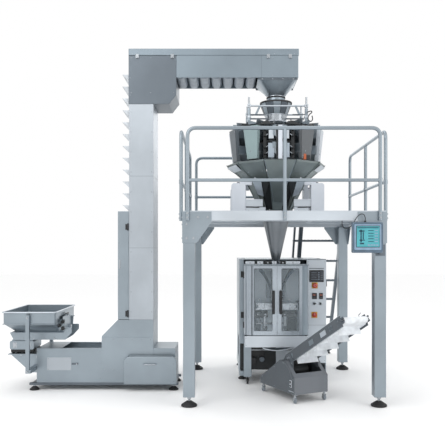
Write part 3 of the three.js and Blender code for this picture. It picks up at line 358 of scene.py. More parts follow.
class Piece:
    """A piece under construction: shapes are added one after another, each in its own material.

    Places are in metres from the foot of the sealer's axis, or in the frame that a matrix gives.
    """

    def __init__(self, name, frame_matrix=None):
        self.name = name
        self.matrix = AT_AXIS if frame_matrix is None else frame_matrix
        self.vertices = []
        self.faces = []
        self.kinds = []
        self.finishes = []

    def _kind(self, finish):
        if finish not in self.finishes:
            self.finishes.append(finish)
        return self.finishes.index(finish)

    def add(self, vertices, faces, finish):
        start = len(self.vertices)
        self.vertices += [self.matrix @ Vector(vertex) for vertex in vertices]
        self.faces += [tuple(start + i for i in face) for face in faces]
        self.kinds += [self._kind(finish)] * len(faces)

    def block(self, low, high, finish, turned=None):
        (x0, y0, z0), (x1, y1, z1) = low, high
        corners = [(x, y, z) for z in (z0, z1) for x, y in ((x0, y0), (x1, y0), (x1, y1), (x0, y1))]
        if turned is not None:
            corners = [turned @ Vector(corner) for corner in corners]
        sides = [(i, (i + 1) % 4, (i + 1) % 4 + 4, i + 4) for i in range(4)]
        self.add(corners, [(3, 2, 1, 0), (4, 5, 6, 7)] + sides, finish)

    def prism(self, outline, axis, start, end, finish, turned=None):
        """An outline pushed along an axis: (y, z) along x, (x, z) along y, (x, y) along z."""
        place = AXIS_ORDER[axis]
        count = len(outline)
        corners = []
        for w in (start, end):
            for u, v in outline:
                corners.append(Vector([(u, v, w)[i] for i in place]))
        if turned is not None:
            corners = [turned @ corner for corner in corners]
        faces = [tuple(range(count - 1, -1, -1)), tuple(range(count, 2 * count))]
        faces += [(i, (i + 1) % count, (i + 1) % count + count, i + count) for i in range(count)]
        self.add(corners, faces, finish)

    def loft(self, rings, finish, closed_ends=True, loop=False):
        """Skins a list of rings that have the same number of points."""
        count = len(rings[0])
        corners = [point for ring in rings for point in ring]
        faces = []
        pairs = len(rings) if loop else len(rings) - 1
        for k in range(pairs):
            a, b = k * count, ((k + 1) % len(rings)) * count
            faces += [(a + i, a + (i + 1) % count, b + (i + 1) % count, b + i) for i in range(count)]
        if closed_ends and not loop:
            faces.append(tuple(range(count - 1, -1, -1)))
            last = (len(rings) - 1) * count
            faces.append(tuple(range(last, last + count)))
        self.add(corners, faces, finish)

    def sheet(self, outline, backward, finish):
        """A flat sheet: its outline, and where each point's partner on the back lies from it."""
        front = [Vector(point) for point in outline]
        self.loft([front, [point + Vector(backward) for point in front]], finish)

    def rod(self, start, end, radius, finish, end_radius=None, sides=24):
        start, end = Vector(start), Vector(end)
        along = (end - start).normalized()
        side = along.orthogonal().normalized()
        up = along.cross(side)
        rings = []
        for place, r in ((start, radius), (end, radius if end_radius is None else end_radius)):
            rings.append([
                place + r * (math.cos(t) * side + math.sin(t) * up)
                for t in (2 * math.pi * i / sides for i in range(sides))
            ])
        self.loft(rings, finish)

    def bar(self, axis, across, start, end, radius, finish, end_radius=None, sides=24):
        """A rod along one axis: where it stands on the other two, then its two ends along this one."""
        u, v = across
        ends = [[(u, v, w)[i] for i in AXIS_ORDER[axis]] for w in (start, end)]
        self.rod(*ends, radius, finish, end_radius, sides)

    def tube(self, points, radius, finish, sides=16):
        """A round section carried along a list of points."""
        points = [Vector(point) for point in points]
        rings = []
        side = None
        for i, point in enumerate(points):
            along = (points[min(i + 1, len(points) - 1)] - points[max(i - 1, 0)]).normalized()
            side = along.orthogonal() if side is None else side - along * side.dot(along)
            side.normalize()
            up = along.cross(side)
            rings.append([
                point + radius * (math.cos(t) * side + math.sin(t) * up)
                for t in (2 * math.pi * k / sides for k in range(sides))
            ])
        self.loft(rings, finish)

    def turned(self, profile, place, finish, axis=(0, 0, 1), sides=48):
        """A closed profile of (radius, distance along the axis) points, turned about that axis."""
        axis = Vector(axis).normalized()
        side = axis.orthogonal().normalized()
        up = axis.cross(side)
        place = Vector(place)
        rings = []
        for i in range(sides):
            t = 2 * math.pi * i / sides
            out = math.cos(t) * side + math.sin(t) * up
            rings.append([place + out * max(r, 1e-5) + axis * d for r, d in profile])
        self.loft([ring[::-1] for ring in rings], finish, loop=True)

    def bolt(self, place, axis, radius):
        """A hexagon head on a washer, standing out along the axis."""
        place, axis = Vector(place), Vector(axis).normalized()
        self.rod(
            place - axis * radius * 0.2, place + axis * radius * 0.25, radius * 1.35, "polished", sides=16,
        )
        self.rod(place + axis * radius * 0.2, place + axis * radius * 0.95, radius, "polished", sides=6)

    def screw(self, place, axis, radius):
        """A button-head screw."""
        place, axis = Vector(place), Vector(axis).normalized()
        self.rod(
            place - axis * radius * 0.3, place + axis * radius * 0.45, radius, "polished", radius * 0.6,
            sides=12,
        )

    def screws(self, places, axis, radius):
        """Screws at every combination of the given places along x, y and z."""
        for place in product(*places):
            self.screw(place, axis, radius)

    def bolts(self, places, axis, radius):
        """Bolts at every combination of the given places along x, y and z."""
        for place in product(*places):
            self.bolt(place, axis, radius)

    def done(self, body, replaced=(), bevel=0.0):
        mesh = bpy.data.meshes.new(self.name)
        mesh.from_pydata(self.vertices, [], self.faces)
        for kind, polygon in zip(self.kinds, mesh.polygons):
            polygon.material_index = kind
        for finish in self.finishes:
            mesh.materials.append(MATERIALS[finish])
        shape = bmesh.new()
        shape.from_mesh(mesh)
        bmesh.ops.remove_doubles(shape, verts=shape.verts, dist=2e-6)
        bmesh.ops.dissolve_degenerate(shape, dist=1e-6, edges=shape.edges)
        bmesh.ops.recalc_face_normals(shape, faces=shape.faces)
        shape.to_mesh(mesh)
        shape.free()
        mesh.shade_smooth()
        mesh.set_sharp_from_angle(angle=SMOOTH_ANGLE)
        made = bpy.data.objects.new(self.name, mesh)
        bpy.context.scene.collection.objects.link(made)
        if bevel:
            soften(made, bevel)
        if body:
            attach(made, body)
        if replaced:
            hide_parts(*replaced)
        return made


def soften(made, width, segments=2):
    """Rounds every real edge of an object, as bent or deburred sheet is."""
    bevel = made.modifiers.new("bevel", "BEVEL")
    bevel.width = width
    bevel.segments = segments
    bevel.limit_method = "ANGLE"
    bevel.angle_limit = math.radians(40)
    bevel.harden_normals = False
    return bevel


def finish_node(node, finish, edge=0.0):
    """Gives a CAD node its material, and rounded edges where its shape is kept."""
    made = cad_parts[node]
    made.data.materials.clear()
    made.data.materials.append(MATERIALS[finish])
    if edge:
        weld = made.modifiers.new("weld", "WELD")
        weld.merge_threshold = 0.00005
        soften(made, edge)


def spaced(low, high, count):
    """Evenly spaced numbers, from the low one to the high one."""
    return [low + i * (high - low) / (count - 1) for i in range(count)]


def band(inner, outer, low, high):
    """A turned ring's profile: from one radius to another, between two heights along its axis."""
    return [(inner, low), (outer, low), (outer, high), (inner, high)]


def bent(points, radius, steps=8):
    """A route through corner points, with each inner corner turned in an arc."""
    points = [Vector(point) for point in points]
    route = [points[0]]
    for before, corner, after in zip(points, points[1:], points[2:]):
        start = corner + (before - corner).normalized() * radius
        end = corner + (after - corner).normalized() * radius
        for i in range(steps + 1):
            t = i / steps
            route.append(start * (1 - t) ** 2 + corner * 2 * t * (1 - t) + end * t * t)
    return route + [points[-1]]


CORNERS = {"front_left": (-1, -1), "front_right": (1, -1), "rear_left": (-1, 1), "rear_right": (1, 1)}


def box_of(node):
    """A CAD node's box, low and high corner, in metres from the foot of the sealer's axis."""
    low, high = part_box(node)
    return low - FOOT_OF_AXIS, high - FOOT_OF_AXIS


KEPT_NODES = {
    # node: (finish, edge rounding in metres)
    "deck_frame": ("bright", 0.004),
    "deck_plate": ("steel_level", 0.0),
    "base_trough": ("steel_level", 0.003),
    "boot_casing": ("steel", 0.003),
    "column_casing": ("column", 0.004),
    "head_corner_casing": ("dark", 0.004),
    "head_casing": ("casing", 0.004),
    "head_cover": ("casing", 0.006),
    "riser_cover": ("steel", 0.004),
    "head_shaft": ("polished", 0.0),
    "catch_box": ("steel", 0.008),
    "feeder_stand": ("steel", 0.002),
    "machine_frame": ("steel", 0.003),
    "control_box": ("bright", 0.003),
    "sealing_jaw_front": ("bright", 0.003),
    "sealing_jaw_rear": ("bright", 0.003),
    "pull_belt_unit": ("dark", 0.004),
    "panel_bracket": ("dark", 0.001),
    "feed_gate": ("steel", 0.001),
}


def add_kept_nodes():
    for node, (finish, edge) in KEPT_NODES.items():
        finish_node(node, finish, edge)
    for corner in CORNERS:
        finish_node(f"platform_leg_{corner}", "steel", 0.006)


# --------------------------------------------------------------------------------------------
# Working platform
# --------------------------------------------------------------------------------------------


def add_levelling_feet():
    for corner in CORNERS:
        node = f"platform_foot_{corner}"
        low, high = box_of(node)
        middle = (low + high) / 2
        base = (middle.x, middle.y, 0)
        radius, top = (high.x - low.x) / 2, high.z
        pad = [
            (0, 0), (radius * 0.96, 0), (radius, 0.004), (radius, 0.016), (radius * 0.93, 0.021),
            (radius * 0.45, 0.047), (radius * 0.36, 0.053), (0, 0.053),
        ]
        foot = Piece(f"foot_{corner}")
        foot.turned(pad, base, "rubber")
        foot.bar("z", (middle.x, middle.y), 0.05, top, 0.0125, "polished")
        thread = 0.003
        for height in spaced(0.056, 0.056 + 7 * thread, 8):
            foot.turned(
                [(0.0118, 0), (0.0136, thread / 2), (0.0118, thread)], (middle.x, middle.y, height),
                "polished",
            )
        foot.bar("z", (middle.x, middle.y), top - 0.022, top - 0.004, 0.022, "polished", sides=6)
        foot.done("root", [node], bevel=0.0008)


RAIL_RADIUS = 0.019
RAIL_BEND = 0.09
MIDDLE_RAIL_DROP = 0.528  # from the top rail's centre line down to the middle rail's


def add_rail(node, along, from_u, to_u, rail_line, middle_post):
    """Top and middle tube, end posts bent into the top tube, a post between, and their bolts."""
    low, high = box_of(node)
    radius = RAIL_RADIUS
    bottom, top = low.z, high.z - radius
    middle = top - MIDDLE_RAIL_DROP

    def at(u, z):
        return (u, rail_line, z) if along == "x" else (rail_line, u, z)

    rail = Piece(node + "_tube")
    hoop = bent([at(from_u, bottom), at(from_u, top), at(to_u, top), at(to_u, bottom)], RAIL_BEND)
    rail.tube(hoop, radius, "steel", sides=24)
    rail.tube([at(from_u, middle), at(to_u, middle)], radius - 0.002, "steel_level", sides=20)
    rail.tube([at(middle_post, bottom), at(middle_post, top)], radius - 0.001, "steel", sides=20)
    for u in (from_u, middle_post, to_u):
        rail.rod(at(u, middle - 0.021), at(u, middle + 0.021), radius + 0.003, "steel", sides=20)
        for height in (bottom + 0.028, bottom + 0.072):
            outward = Vector(at(0, 0)).normalized()
            rail.bolt(Vector(at(u, height)) + outward * (radius - 0.002), outward, GUSSET_HEAD)
            rail.rod(Vector(at(u, height)), Vector(at(u, height)) - outward * 0.026, 0.009, "polished")
    rail.done("root", [node])


def add_guard_rails():
    for node, along, middle_post in (
        ("guard_rail_front", "x", 0.0),
        ("guard_rail_left", "y", 0.0),
        ("guard_rail_right", "y", 0.0),
        ("guard_rail_rear", "x", -0.33),
    ):
        low, high = box_of(node)
        run = 0 if along == "x" else 1
        outer = (low[1 - run], high[1 - run])
        rail_line = outer[0] + RAIL_RADIUS if abs(outer[0]) > abs(outer[1]) else outer[1] - RAIL_RADIUS
        add_rail(node, along, low[run] + RAIL_RADIUS, high[run] - RAIL_RADIUS, rail_line, middle_post)


def add_ladder():
    low, high = box_of("ladder")
    depth = 0.035
    foot_y, top_y, top_z = high.y - depth, low.y + depth, high.z
    left, right = low.x + 0.012, high.x - 0.020
    plate = left + 0.086
    ladder = Piece("ladder_steps")
    for x, half in ((left, 0.012), (plate, 0.026), (right, 0.020)):
        outline = [
            (foot_y - depth, 0.012), (foot_y + depth, 0.012), (top_y + depth, top_z),
            (top_y - depth, top_z),
        ]
        ladder.prism(outline, "x", x - half, x + half, "dark")
        ladder.block((x - half - 0.01, foot_y - 0.05, 0), (x + half + 0.01, foot_y + 0.05, 0.014), "rubber")
    step_pitch = 0.281
    for i in range(1, 7):
        z = top_z - i * step_pitch
        y = foot_y + (top_y - foot_y) * z / top_z
        ladder.block((left, y - 0.03, z + 0.010), (right, y + 0.03, z + 0.014), "dark")
        for edge in (y - 0.03, y + 0.027):
            ladder.block((left, edge, z - 0.014), (right, edge + 0.003, z + 0.013), "dark")
        for x in spaced(plate + 0.06, right - 0.05, 10):
            ladder.bar("z", (x, y), z + 0.0135, z + 0.017, 0.009, "dark", 0.007, sides=12)
        ladder.bolt((left - 0.012, y, z), (-1, 0, 0), FRAME_HEAD)
        ladder.bolt((right + 0.020, y, z), RIGHT, FRAME_HEAD)
    ladder.done("root", ["ladder"], bevel=0.001)


GUSSET_HEIGHT = 0.32
# Bolts of a corner gusset: inward from the leg's outer face, and up from the plate's lower edge.
GUSSET_BOLTS = ((0.045, 0.05), (0.115, 0.05), (0.045, 0.19), (0.06, 0.262), (0.16, 0.262), (0.26, 0.262))


def add_platform_bolts():
    """The bolts of the corner gussets; the operator panel swings past the front right one's face."""
    bolts = Piece("platform_bolts")
    for corner, (side_x, side_y) in CORNERS.items():
        low, high = box_of(f"platform_leg_{corner}")
        face_x = high.x if side_x > 0 else low.x
        face_y = high.y if side_y > 0 else low.y
        for inward, height in GUSSET_BOLTS:
            z = high.z - GUSSET_HEIGHT + height
            if corner != "front_right":
                bolts.bolt((face_x - side_x * inward, face_y, z), (0, side_y, 0), GUSSET_HEAD)
            bolts.bolt((face_x, face_y - side_y * inward, z), (side_x, 0, 0), GUSSET_HEAD)
    bolts.done("root")


# --------------------------------------------------------------------------------------------
# Operator panel and its cable
# --------------------------------------------------------------------------------------------


PANEL_WIDTH, PANEL_HEIGHT = 0.305, 0.306


def add_operator_panel():
    low = box_of("operator_panel")[0]
    pin_low, pin_high = box_of("panel_bracket")
    left, right = low.x, low.x + PANEL_WIDTH
    front, back = low.y + 0.008, low.y + 0.068
    bottom, top = low.z, low.z + PANEL_HEIGHT
    panel = Piece("panel_housing")
    round_box(panel, (left, front, bottom), (right, back, top), 0.012, "panel")
    inset = 0.018
    round_box(
        panel, (left + inset, front - 0.006, bottom + 0.029), (right - inset, front + 0.002, top - 0.019),
        0.010, "bezel",
    )
    panel.block(
        (left + 0.034, front - 0.0075, bottom + 0.055), (right - 0.034, front - 0.005, top - 0.034),
        "black",
    )
    glass_low = Vector((left + 0.040, front - 0.0080, bottom + 0.061))
    glass_high = Vector((right - 0.037, front - 0.0070, top - 0.041))
    panel.block(glass_low, glass_high, "screen")
    panel.screws(
        ((left + 0.010, right - 0.010), (front,), (bottom + 0.010, top - 0.010)), TO_FRONT, FINE_HEAD,
    )
    panel.block((left + 0.02, back, bottom + 0.03), (right - 0.02, back + 0.002, top - 0.03), "panel")
    gland = (left + 0.133, front + 0.030)
    panel.rod((*gland, top - 0.002), (*gland, top + 0.007), 0.014, "black", sides=6)
    panel.rod((*gland, top + 0.006), (*gland, top + 0.019), 0.0115, "black", 0.0085, sides=24)
    pin = ((pin_low.x + pin_high.x) / 2 - 0.0105, -1.055)
    panel.turned(band(0.0078, 0.0118, 0.0, 0.05), (*pin, 1.58), "dark")
    panel.block((pin[0] - 0.008, back - 0.001, 1.582), (pin[0] + 0.008, pin[1] - 0.008, 1.628), "dark")
    panel.done("panel", ["operator_panel"], bevel=0.0008)
    add_screen_marks(glass_low, glass_high)


def round_box(piece, low, high, radius, finish, steps=6):
    """A block whose four edges along Y are rounded, as a moulded front is."""
    (x0, y0, z0), (x1, y1, z1) = low, high
    outline = []
    for x, z, start in ((x1, z0, -90), (x1, z1, 0), (x0, z1, 90), (x0, z0, 180)):
        middle_x = x - radius if x == x1 else x + radius
        middle_z = z - radius if z == z1 else z + radius
        for i in range(steps + 1):
            angle = math.radians(start + 90 * i / steps)
            outline.append((middle_x + radius * math.cos(angle), middle_z + radius * math.sin(angle)))
    piece.prism(outline, "y", y0, y1, finish)


def add_screen_marks(low, high):
    """What the display shows: a plain machine outline on the left, rows and keys on the right."""
    width, height = high.x - low.x, high.z - low.z
    marks = Piece("screen_marks")
    front, back = low.y - 0.0006, low.y + 0.0002

    def patch(x0, x1, z0, z1, finish="screen_line"):
        marks.block(
            (low.x + width * x0, front, low.z + height * z0),
            (low.x + width * x1, back, low.z + height * z1),
            finish,
        )

    patch(0.03, 0.97, 0.91, 0.955)
    patch(0.16, 0.22, 0.22, 0.84)
    patch(0.10, 0.34, 0.74, 0.80)
    patch(0.26, 0.31, 0.36, 0.72)
    patch(0.12, 0.36, 0.30, 0.35)
    patch(0.14, 0.32, 0.12, 0.20)
    for row in range(5):
        z = 0.78 - row * 0.135
        patch(0.50, 0.74, z, z + 0.035)
        patch(0.79, 0.93, z - 0.008, z + 0.045, "bezel")
    for key in range(4):
        x = 0.48 + key * 0.125
        patch(x, x + 0.09, 0.05, 0.12, "bezel")
    marks.done("panel")


CABLE_RADIUS = 0.004


def cable_route():
    """From the gland up and over to the left, down beside the leg and up under the deck beam."""
    low, high = box_of("operator_panel")
    gland = Vector((low.x + 0.133, low.y + 0.038, high.z - 0.0005))
    knots = [
        gland,
        gland + Vector((0, 0, 0.029)),
        gland + Vector((-0.013, 0, 0.060)),
        gland + Vector((-0.041, 0.001, 0.066)),
        gland + Vector((-0.068, 0.006, 0.048)),
        gland + Vector((-0.091, 0.022, 0.016)),
        gland + Vector((-0.111, 0.042, -0.024)),
        gland + Vector((-0.137, 0.052, -0.058)),
        gland + Vector((-0.168, 0.068, -0.076)),
        gland + Vector((-0.196, 0.088, -0.070)),
        gland + Vector((-0.209, 0.104, -0.038)),
        gland + Vector((-0.211, 0.108, 0.003)),
    ]
    return smooth_route(knots, 3)


def smooth_route(knots, steps):
    """A Catmull-Rom curve through knots, with some points between each two."""
    ends = [knots[0] * 2 - knots[1]] + knots + [knots[-1] * 2 - knots[-2]]
    route = []
    for a, b, c, d in zip(ends, ends[1:], ends[2:], ends[3:]):
        for i in range(steps):
            t = i / steps
            route.append(0.5 * (2 * b + (c - a) * t + (2 * a - 5 * b + 4 * c - d) * t ** 2
                                + (3 * b - a - 3 * c + d) * t ** 3))
    return route + [knots[-1]]


def add_panel_cable():
    route = cable_route()
    cable = Piece("cable_of_panel")
    cable.tube(smooth_route(route, 4), CABLE_RADIUS, "rubber", sides=16)
    made = cable.done(None, ["panel_cable"])
    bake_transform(made)


# --------------------------------------------------------------------------------------------
# Bucket elevator
# --------------------------------------------------------------------------------------------

BUCKET_PITCH = 0.136
BUCKET_HALF = 0.218
CHAIN_SIDE = 0.227  # from the middle of the run to each chain
CHAIN_PITCH = 0.035
SCOOP = [(-0.120, 0.040), (-0.020, -0.058), (0.060, -0.058), (0.110, 0.010), (0.110, 0.040)]
ROUND_TROUGH = [
    (-0.066, 0.050), (-0.058, -0.020), (-0.030, -0.058), (0.030, -0.058), (0.058, -0.020), (0.066, 0.050),
]


def add_bucket(piece, outline, x, z, half, finish="bucket", wall=0.004):
    """One moulded trough bucket, open above, with a rolled lip along both long edges."""
    soft = []
    for before, corner, after in zip(outline[-1:] + outline, outline, outline[1:] + outline[:1]):
        if corner[1] > 0.03:
            soft.append(Vector(corner))
            continue
        soft += bent([Vector(before), Vector(corner), Vector(after)], 0.018, 4)[1:-1]
    middle = sum(point.x for point in soft) / len(soft)
    low = min(point.y for point in soft)
    top = max(point.y for point in soft)
    count = len(soft)

    def ring(y, inset):
        shrink = 1 - inset / 0.06
        return [(x + middle + (point.x - middle) * shrink, y,
                 z + top + (point.y - top) * (1 - inset / (top - low))) for point in soft]

    outer = [ring(-half, 0), ring(half, 0)]
    inner = [ring(-half + wall, wall), ring(half - wall, wall)]
    faces = []
    for i in range(count):
        k = (i + 1) % count
        if soft[i].y > top - 1e-6 and soft[k].y > top - 1e-6:
            continue
        faces += [(i, k, count + k, count + i), (2 * count + i, 3 * count + i, 3 * count + k, 2 * count + k)]
    edge = [i for i in range(count) if soft[i].y > top - 1e-6]
    for end in (0, 1):
        outer_end = [end * count + i for i in range(count)]
        inner_end = [(2 + end) * count + i for i in range(count)]
        faces += [tuple(outer_end), tuple(inner_end)]
    for i in edge:
        faces.append((i, count + i, 3 * count + i, 2 * count + i))
    for end in (0, 1):
        a, b = edge[0], edge[-1]
        faces.append((end * count + a, end * count + b, (2 + end) * count + b, (2 + end) * count + a))
    piece.add([point for part in outer + inner for point in part], faces, finish)
    for i in edge:
        lip = soft[i]
        piece.tube([(x + lip.x, -half, z + lip.y), (x + lip.x, half, z + lip.y)], 0.0035, finish, sides=8)
    for end in (-1, 1):
        piece.bar("y", (x + middle, z + 0.012), end * half, end * (half + 0.012), 0.010, "polished")


def add_chain(piece, points, side_y):
    """Pin-and-plate chain links along a straight run."""
    start, end = Vector(points[0]), Vector(points[1])
    along = (end - start).normalized()
    link = along * CHAIN_PITCH
    across = Vector((0, side_y, 0))
    half_pin = Vector((0, 0.0055, 0))
    count = int((end - start).length / CHAIN_PITCH)
    for i in range(count):
        place = start + link * (i + 0.5)
        wide = 0.0025 if i % 2 else 0.0045
        for offset in (-wide, wide):
            plate = place + across + Vector((0, offset, 0))
            piece.rod(plate - link * 0.62, plate + link * 0.62, 0.0045, "dark", sides=6)
        pin = place + link * 0.5 + across
        piece.rod(pin - half_pin, pin + half_pin, 0.003, "polished", sides=8)


def add_buckets():
    low, high = box_of("riser_buckets")
    x, first = low.x + 0.120, low.z + 0.025
    riser = Piece("rising_bucket_run")
    count = int((high.z - first) / BUCKET_PITCH) + 1
    for i in range(count):
        add_bucket(riser, SCOOP, x, first + i * BUCKET_PITCH, BUCKET_HALF)
    for side in (-1, 1):
        add_chain(riser, [(x + 0.075, 0, low.z), (x + 0.075, 0, high.z)], side * CHAIN_SIDE)
    riser.done("riser_chain", ["riser_buckets"])
    for node, body, finish in (
        ("head_buckets", "head_chain", "shaded_bucket"), ("base_buckets", "base_chain", "bucket"),
    ):
        low, high = box_of(node)
        run = Piece(node + "_run")
        first, height = low.x + 0.066, low.z + 0.058
        count = int((high.x - first) / BUCKET_PITCH) + 1
        for i in range(count):
            add_bucket(run, ROUND_TROUGH, first + i * BUCKET_PITCH, height, BUCKET_HALF, finish)
        for side in (-1, 1):
            add_chain(run, [(low.x, 0, height + 0.032), (high.x, 0, height + 0.032)], side * CHAIN_SIDE)
        run.done(body, [node])


def add_casing_details():
    """Screws, seams and latches on the elevator's casings."""
    details = Piece("elevator_screws")
    column_low, column_high = box_of("column_casing")
    front = column_low.y
    rows = spaced(column_low.z + 0.09, column_high.z - 0.09, 11)
    edges = (column_high.x - 0.018, column_low.x + 0.022)
    details.screws((edges, (front,), rows), TO_FRONT, MEDIUM_HEAD)
    details.screws((edges, (column_high.y,), rows), TO_REAR, MEDIUM_HEAD)
    details.screws(((column_high.x,), (front + 0.03, column_high.y - 0.03), rows), RIGHT, MEDIUM_HEAD)
    for z in (column_low.z + 0.82, column_low.z + 1.64):
        details.block(
            (column_low.x + 0.002, front - 0.0012, z), (column_high.x + 0.0012, front + 0.002, z + 0.0025),
            "dark",
        )
        details.block(
            (column_high.x - 0.002, front, z), (column_high.x + 0.0012, column_high.y, z + 0.0025), "dark",
        )
    corner_low, corner_high = box_of("head_corner_casing")
    columns = (corner_low.x + 0.03, (corner_low.x + corner_high.x) / 2 - 0.02, corner_high.x - 0.03)
    details.screws((columns, (front,), (corner_low.z + 0.13, corner_high.z - 0.03)), TO_FRONT, LARGE_HEAD)
    rows = (corner_low.z + 0.10, corner_low.z + 0.30, corner_low.z + 0.50)
    details.screws(((corner_low.x + 0.020,), (front,), rows), TO_FRONT, SMALL_HEAD)
    casing_low, casing_high = box_of("head_casing")
    columns = spaced(casing_low.x + 0.03, casing_high.x - 0.03, 6)
    rows = (casing_high.z - 0.03, casing_high.z - 0.225)
    details.screws((columns, (front,), rows), TO_FRONT, MEDIUM_HEAD)
    details.screws((columns, (casing_high.y,), rows), TO_REAR, MEDIUM_HEAD)
    seam = casing_low.x + 0.97
    details.block(
        (seam, front - 0.0012, casing_high.z - 0.252), (seam + 0.0025, front + 0.002, casing_high.z),
        "dark",
    )
    cover_low, cover_high = box_of("head_cover")
    columns = spaced(cover_low.x + 0.05, cover_high.x - 0.05, 9)
    details.screws((columns, (cover_low.y,), (cover_low.z + 0.018,)), TO_FRONT, SMALL_HEAD)
    details.screws((columns, (cover_high.y,), (cover_low.z + 0.018,)), TO_REAR, SMALL_HEAD)
    for x in (cover_low.x + 0.10, cover_low.x + 0.50, cover_high.x - 0.35, cover_high.x - 0.10):
        details.block(
            (x - 0.018, cover_low.y - 0.006, cover_low.z - 0.035),
            (x + 0.018, cover_low.y, cover_low.z + 0.012), "polished",
        )
        details.bar("y", (x, cover_low.z - 0.02), cover_low.y - 0.004, cover_low.y - 0.016, 0.007, "polished")
    details.done("root", bevel=0.0006)


def add_boot_details():
    """The boot's screws and bearing, and the trough's inspection plate, latch and edge strips."""
    details = Piece("boot_details")
    boot_low, boot_high = box_of("boot_casing")
    front = boot_low.y
    columns = spaced(boot_low.x + 0.03, boot_high.x - 0.03, 6)
    details.screws((columns, (front,), (0.235, 0.575)), TO_FRONT, LARGE_HEAD)
    trough_low, trough_high = box_of("base_trough")
    plate = (trough_low.x + 0.119, trough_low.x + 0.395)
    plate_bottom, plate_top = trough_low.z + 0.142, trough_low.z + 0.288
    details.block(
        (plate[0], trough_low.y - 0.003, plate_bottom), (plate[1], trough_low.y, plate_top), "column",
    )
    inset = 0.012
    columns = (plate[0] + inset, plate[1] - inset)
    rows = (plate_bottom + inset, plate_top - inset)
    details.screws((columns, (trough_low.y - 0.003,), rows), TO_FRONT, SMALL_HEAD)
    latch = plate[1] + 0.006
    latch_z = (plate_bottom + plate_top) / 2
    details.block(
        (latch, trough_low.y - 0.006, latch_z - 0.011), (latch + 0.075, trough_low.y, latch_z + 0.011),
        "dark",
    )
    details.bar("y", (latch + 0.060, latch_z), trough_low.y - 0.005, trough_low.y - 0.022, 0.009, "polished")
    details.screws(
        (
            (trough_low.x + 0.012, boot_low.x - 0.02), (trough_low.y,),
            (trough_low.z + 0.05, trough_high.z - 0.04),
        ), TO_FRONT, MEDIUM_HEAD,
    )
    for z in (trough_low.z + 0.012, trough_high.z - 0.012):
        details.block(
            (trough_low.x + 0.004, trough_low.y - 0.002, z - 0.010),
            (boot_low.x, trough_low.y + 0.001, z + 0.010), "steel_level",
        )
    details.block(
        (trough_low.x - 0.0015, -0.20, trough_low.z + 0.06), (trough_low.x, 0.20, trough_high.z - 0.06),
        "dark",
    )
    bearing = (boot_low.x + 0.36, 0.33)
    details.bar("y", bearing, front - 0.002, front - 0.016, 0.045, "polished")
    details.bar("y", bearing, front - 0.014, front - 0.026, 0.022, "dark")
    for angle in range(0, 360, 90):
        t = math.radians(angle + 45)
        details.bolt(
            (bearing[0] + 0.034 * math.cos(t), front - 0.016, bearing[1] + 0.034 * math.sin(t)), TO_FRONT,
            SMALL_HEAD,
        )
    details.done("root", bevel=0.0008)


def add_riser_cover_fittings():
    low, high = box_of("riser_cover")
    fittings = Piece("riser_cover_fittings")
    face = low.y + 0.013
    pin_x, pin_y = high.x - 0.0115, low.y + 0.010
    for z in (high.z - 0.18, low.z + 0.066):
        fittings.block((high.x - 0.040, low.y + 0.004, z - 0.032), (pin_x, low.y + 0.018, z + 0.032), "black")
        fittings.bar("z", (pin_x, pin_y), z - 0.040, z + 0.040, 0.010, "black")
    rows = spaced(low.z + 0.12, high.z - 0.12, 5)
    fittings.screws(((low.x + 0.016,), (face + 0.005,), rows), TO_FRONT, SMALL_HEAD)
    fittings.block(
        (low.x + 0.012, face + 0.002, low.z + 0.58), (low.x + 0.030, face + 0.006, low.z + 0.68),
        "polished",
    )
    fittings.done("riser_door", bevel=0.001)


def add_elevator_skid():
    low, high = box_of("elevator_skid")
    skid = Piece("skid_rails")
    rail_bottom = low.z + 0.056
    for side in (-1, 1):
        outline = [
            (side * 0.215, rail_bottom), (side * 0.255, rail_bottom), (side * 0.255, high.z),
            (side * 0.215, high.z),
        ]
        skid.prism(outline, "x", low.x + 0.01, high.x - 0.01, "dark")
    for x in (low.x + 0.065, high.x - 0.065):
        skid.block((x - 0.03, -0.25, rail_bottom), (x + 0.03, 0.25, high.z), "dark")
        for y in (-0.235, 0.235):
            pad = [
                (0, 0), (0.053, 0), (0.055, 0.004), (0.055, 0.013), (0.048, 0.018), (0.026, 0.038),
                (0.02, 0.042), (0, 0.042),
            ]
            skid.turned(pad, (x, y, low.z), "rubber", sides=32)
            skid.bar("z", (x, y), low.z + 0.04, rail_bottom + 0.002, 0.010, "polished")
            skid.bar("z", (x, y), rail_bottom - 0.012, rail_bottom, 0.018, "polished", sides=6)
    skid.done("root", ["elevator_skid"], bevel=0.0015)


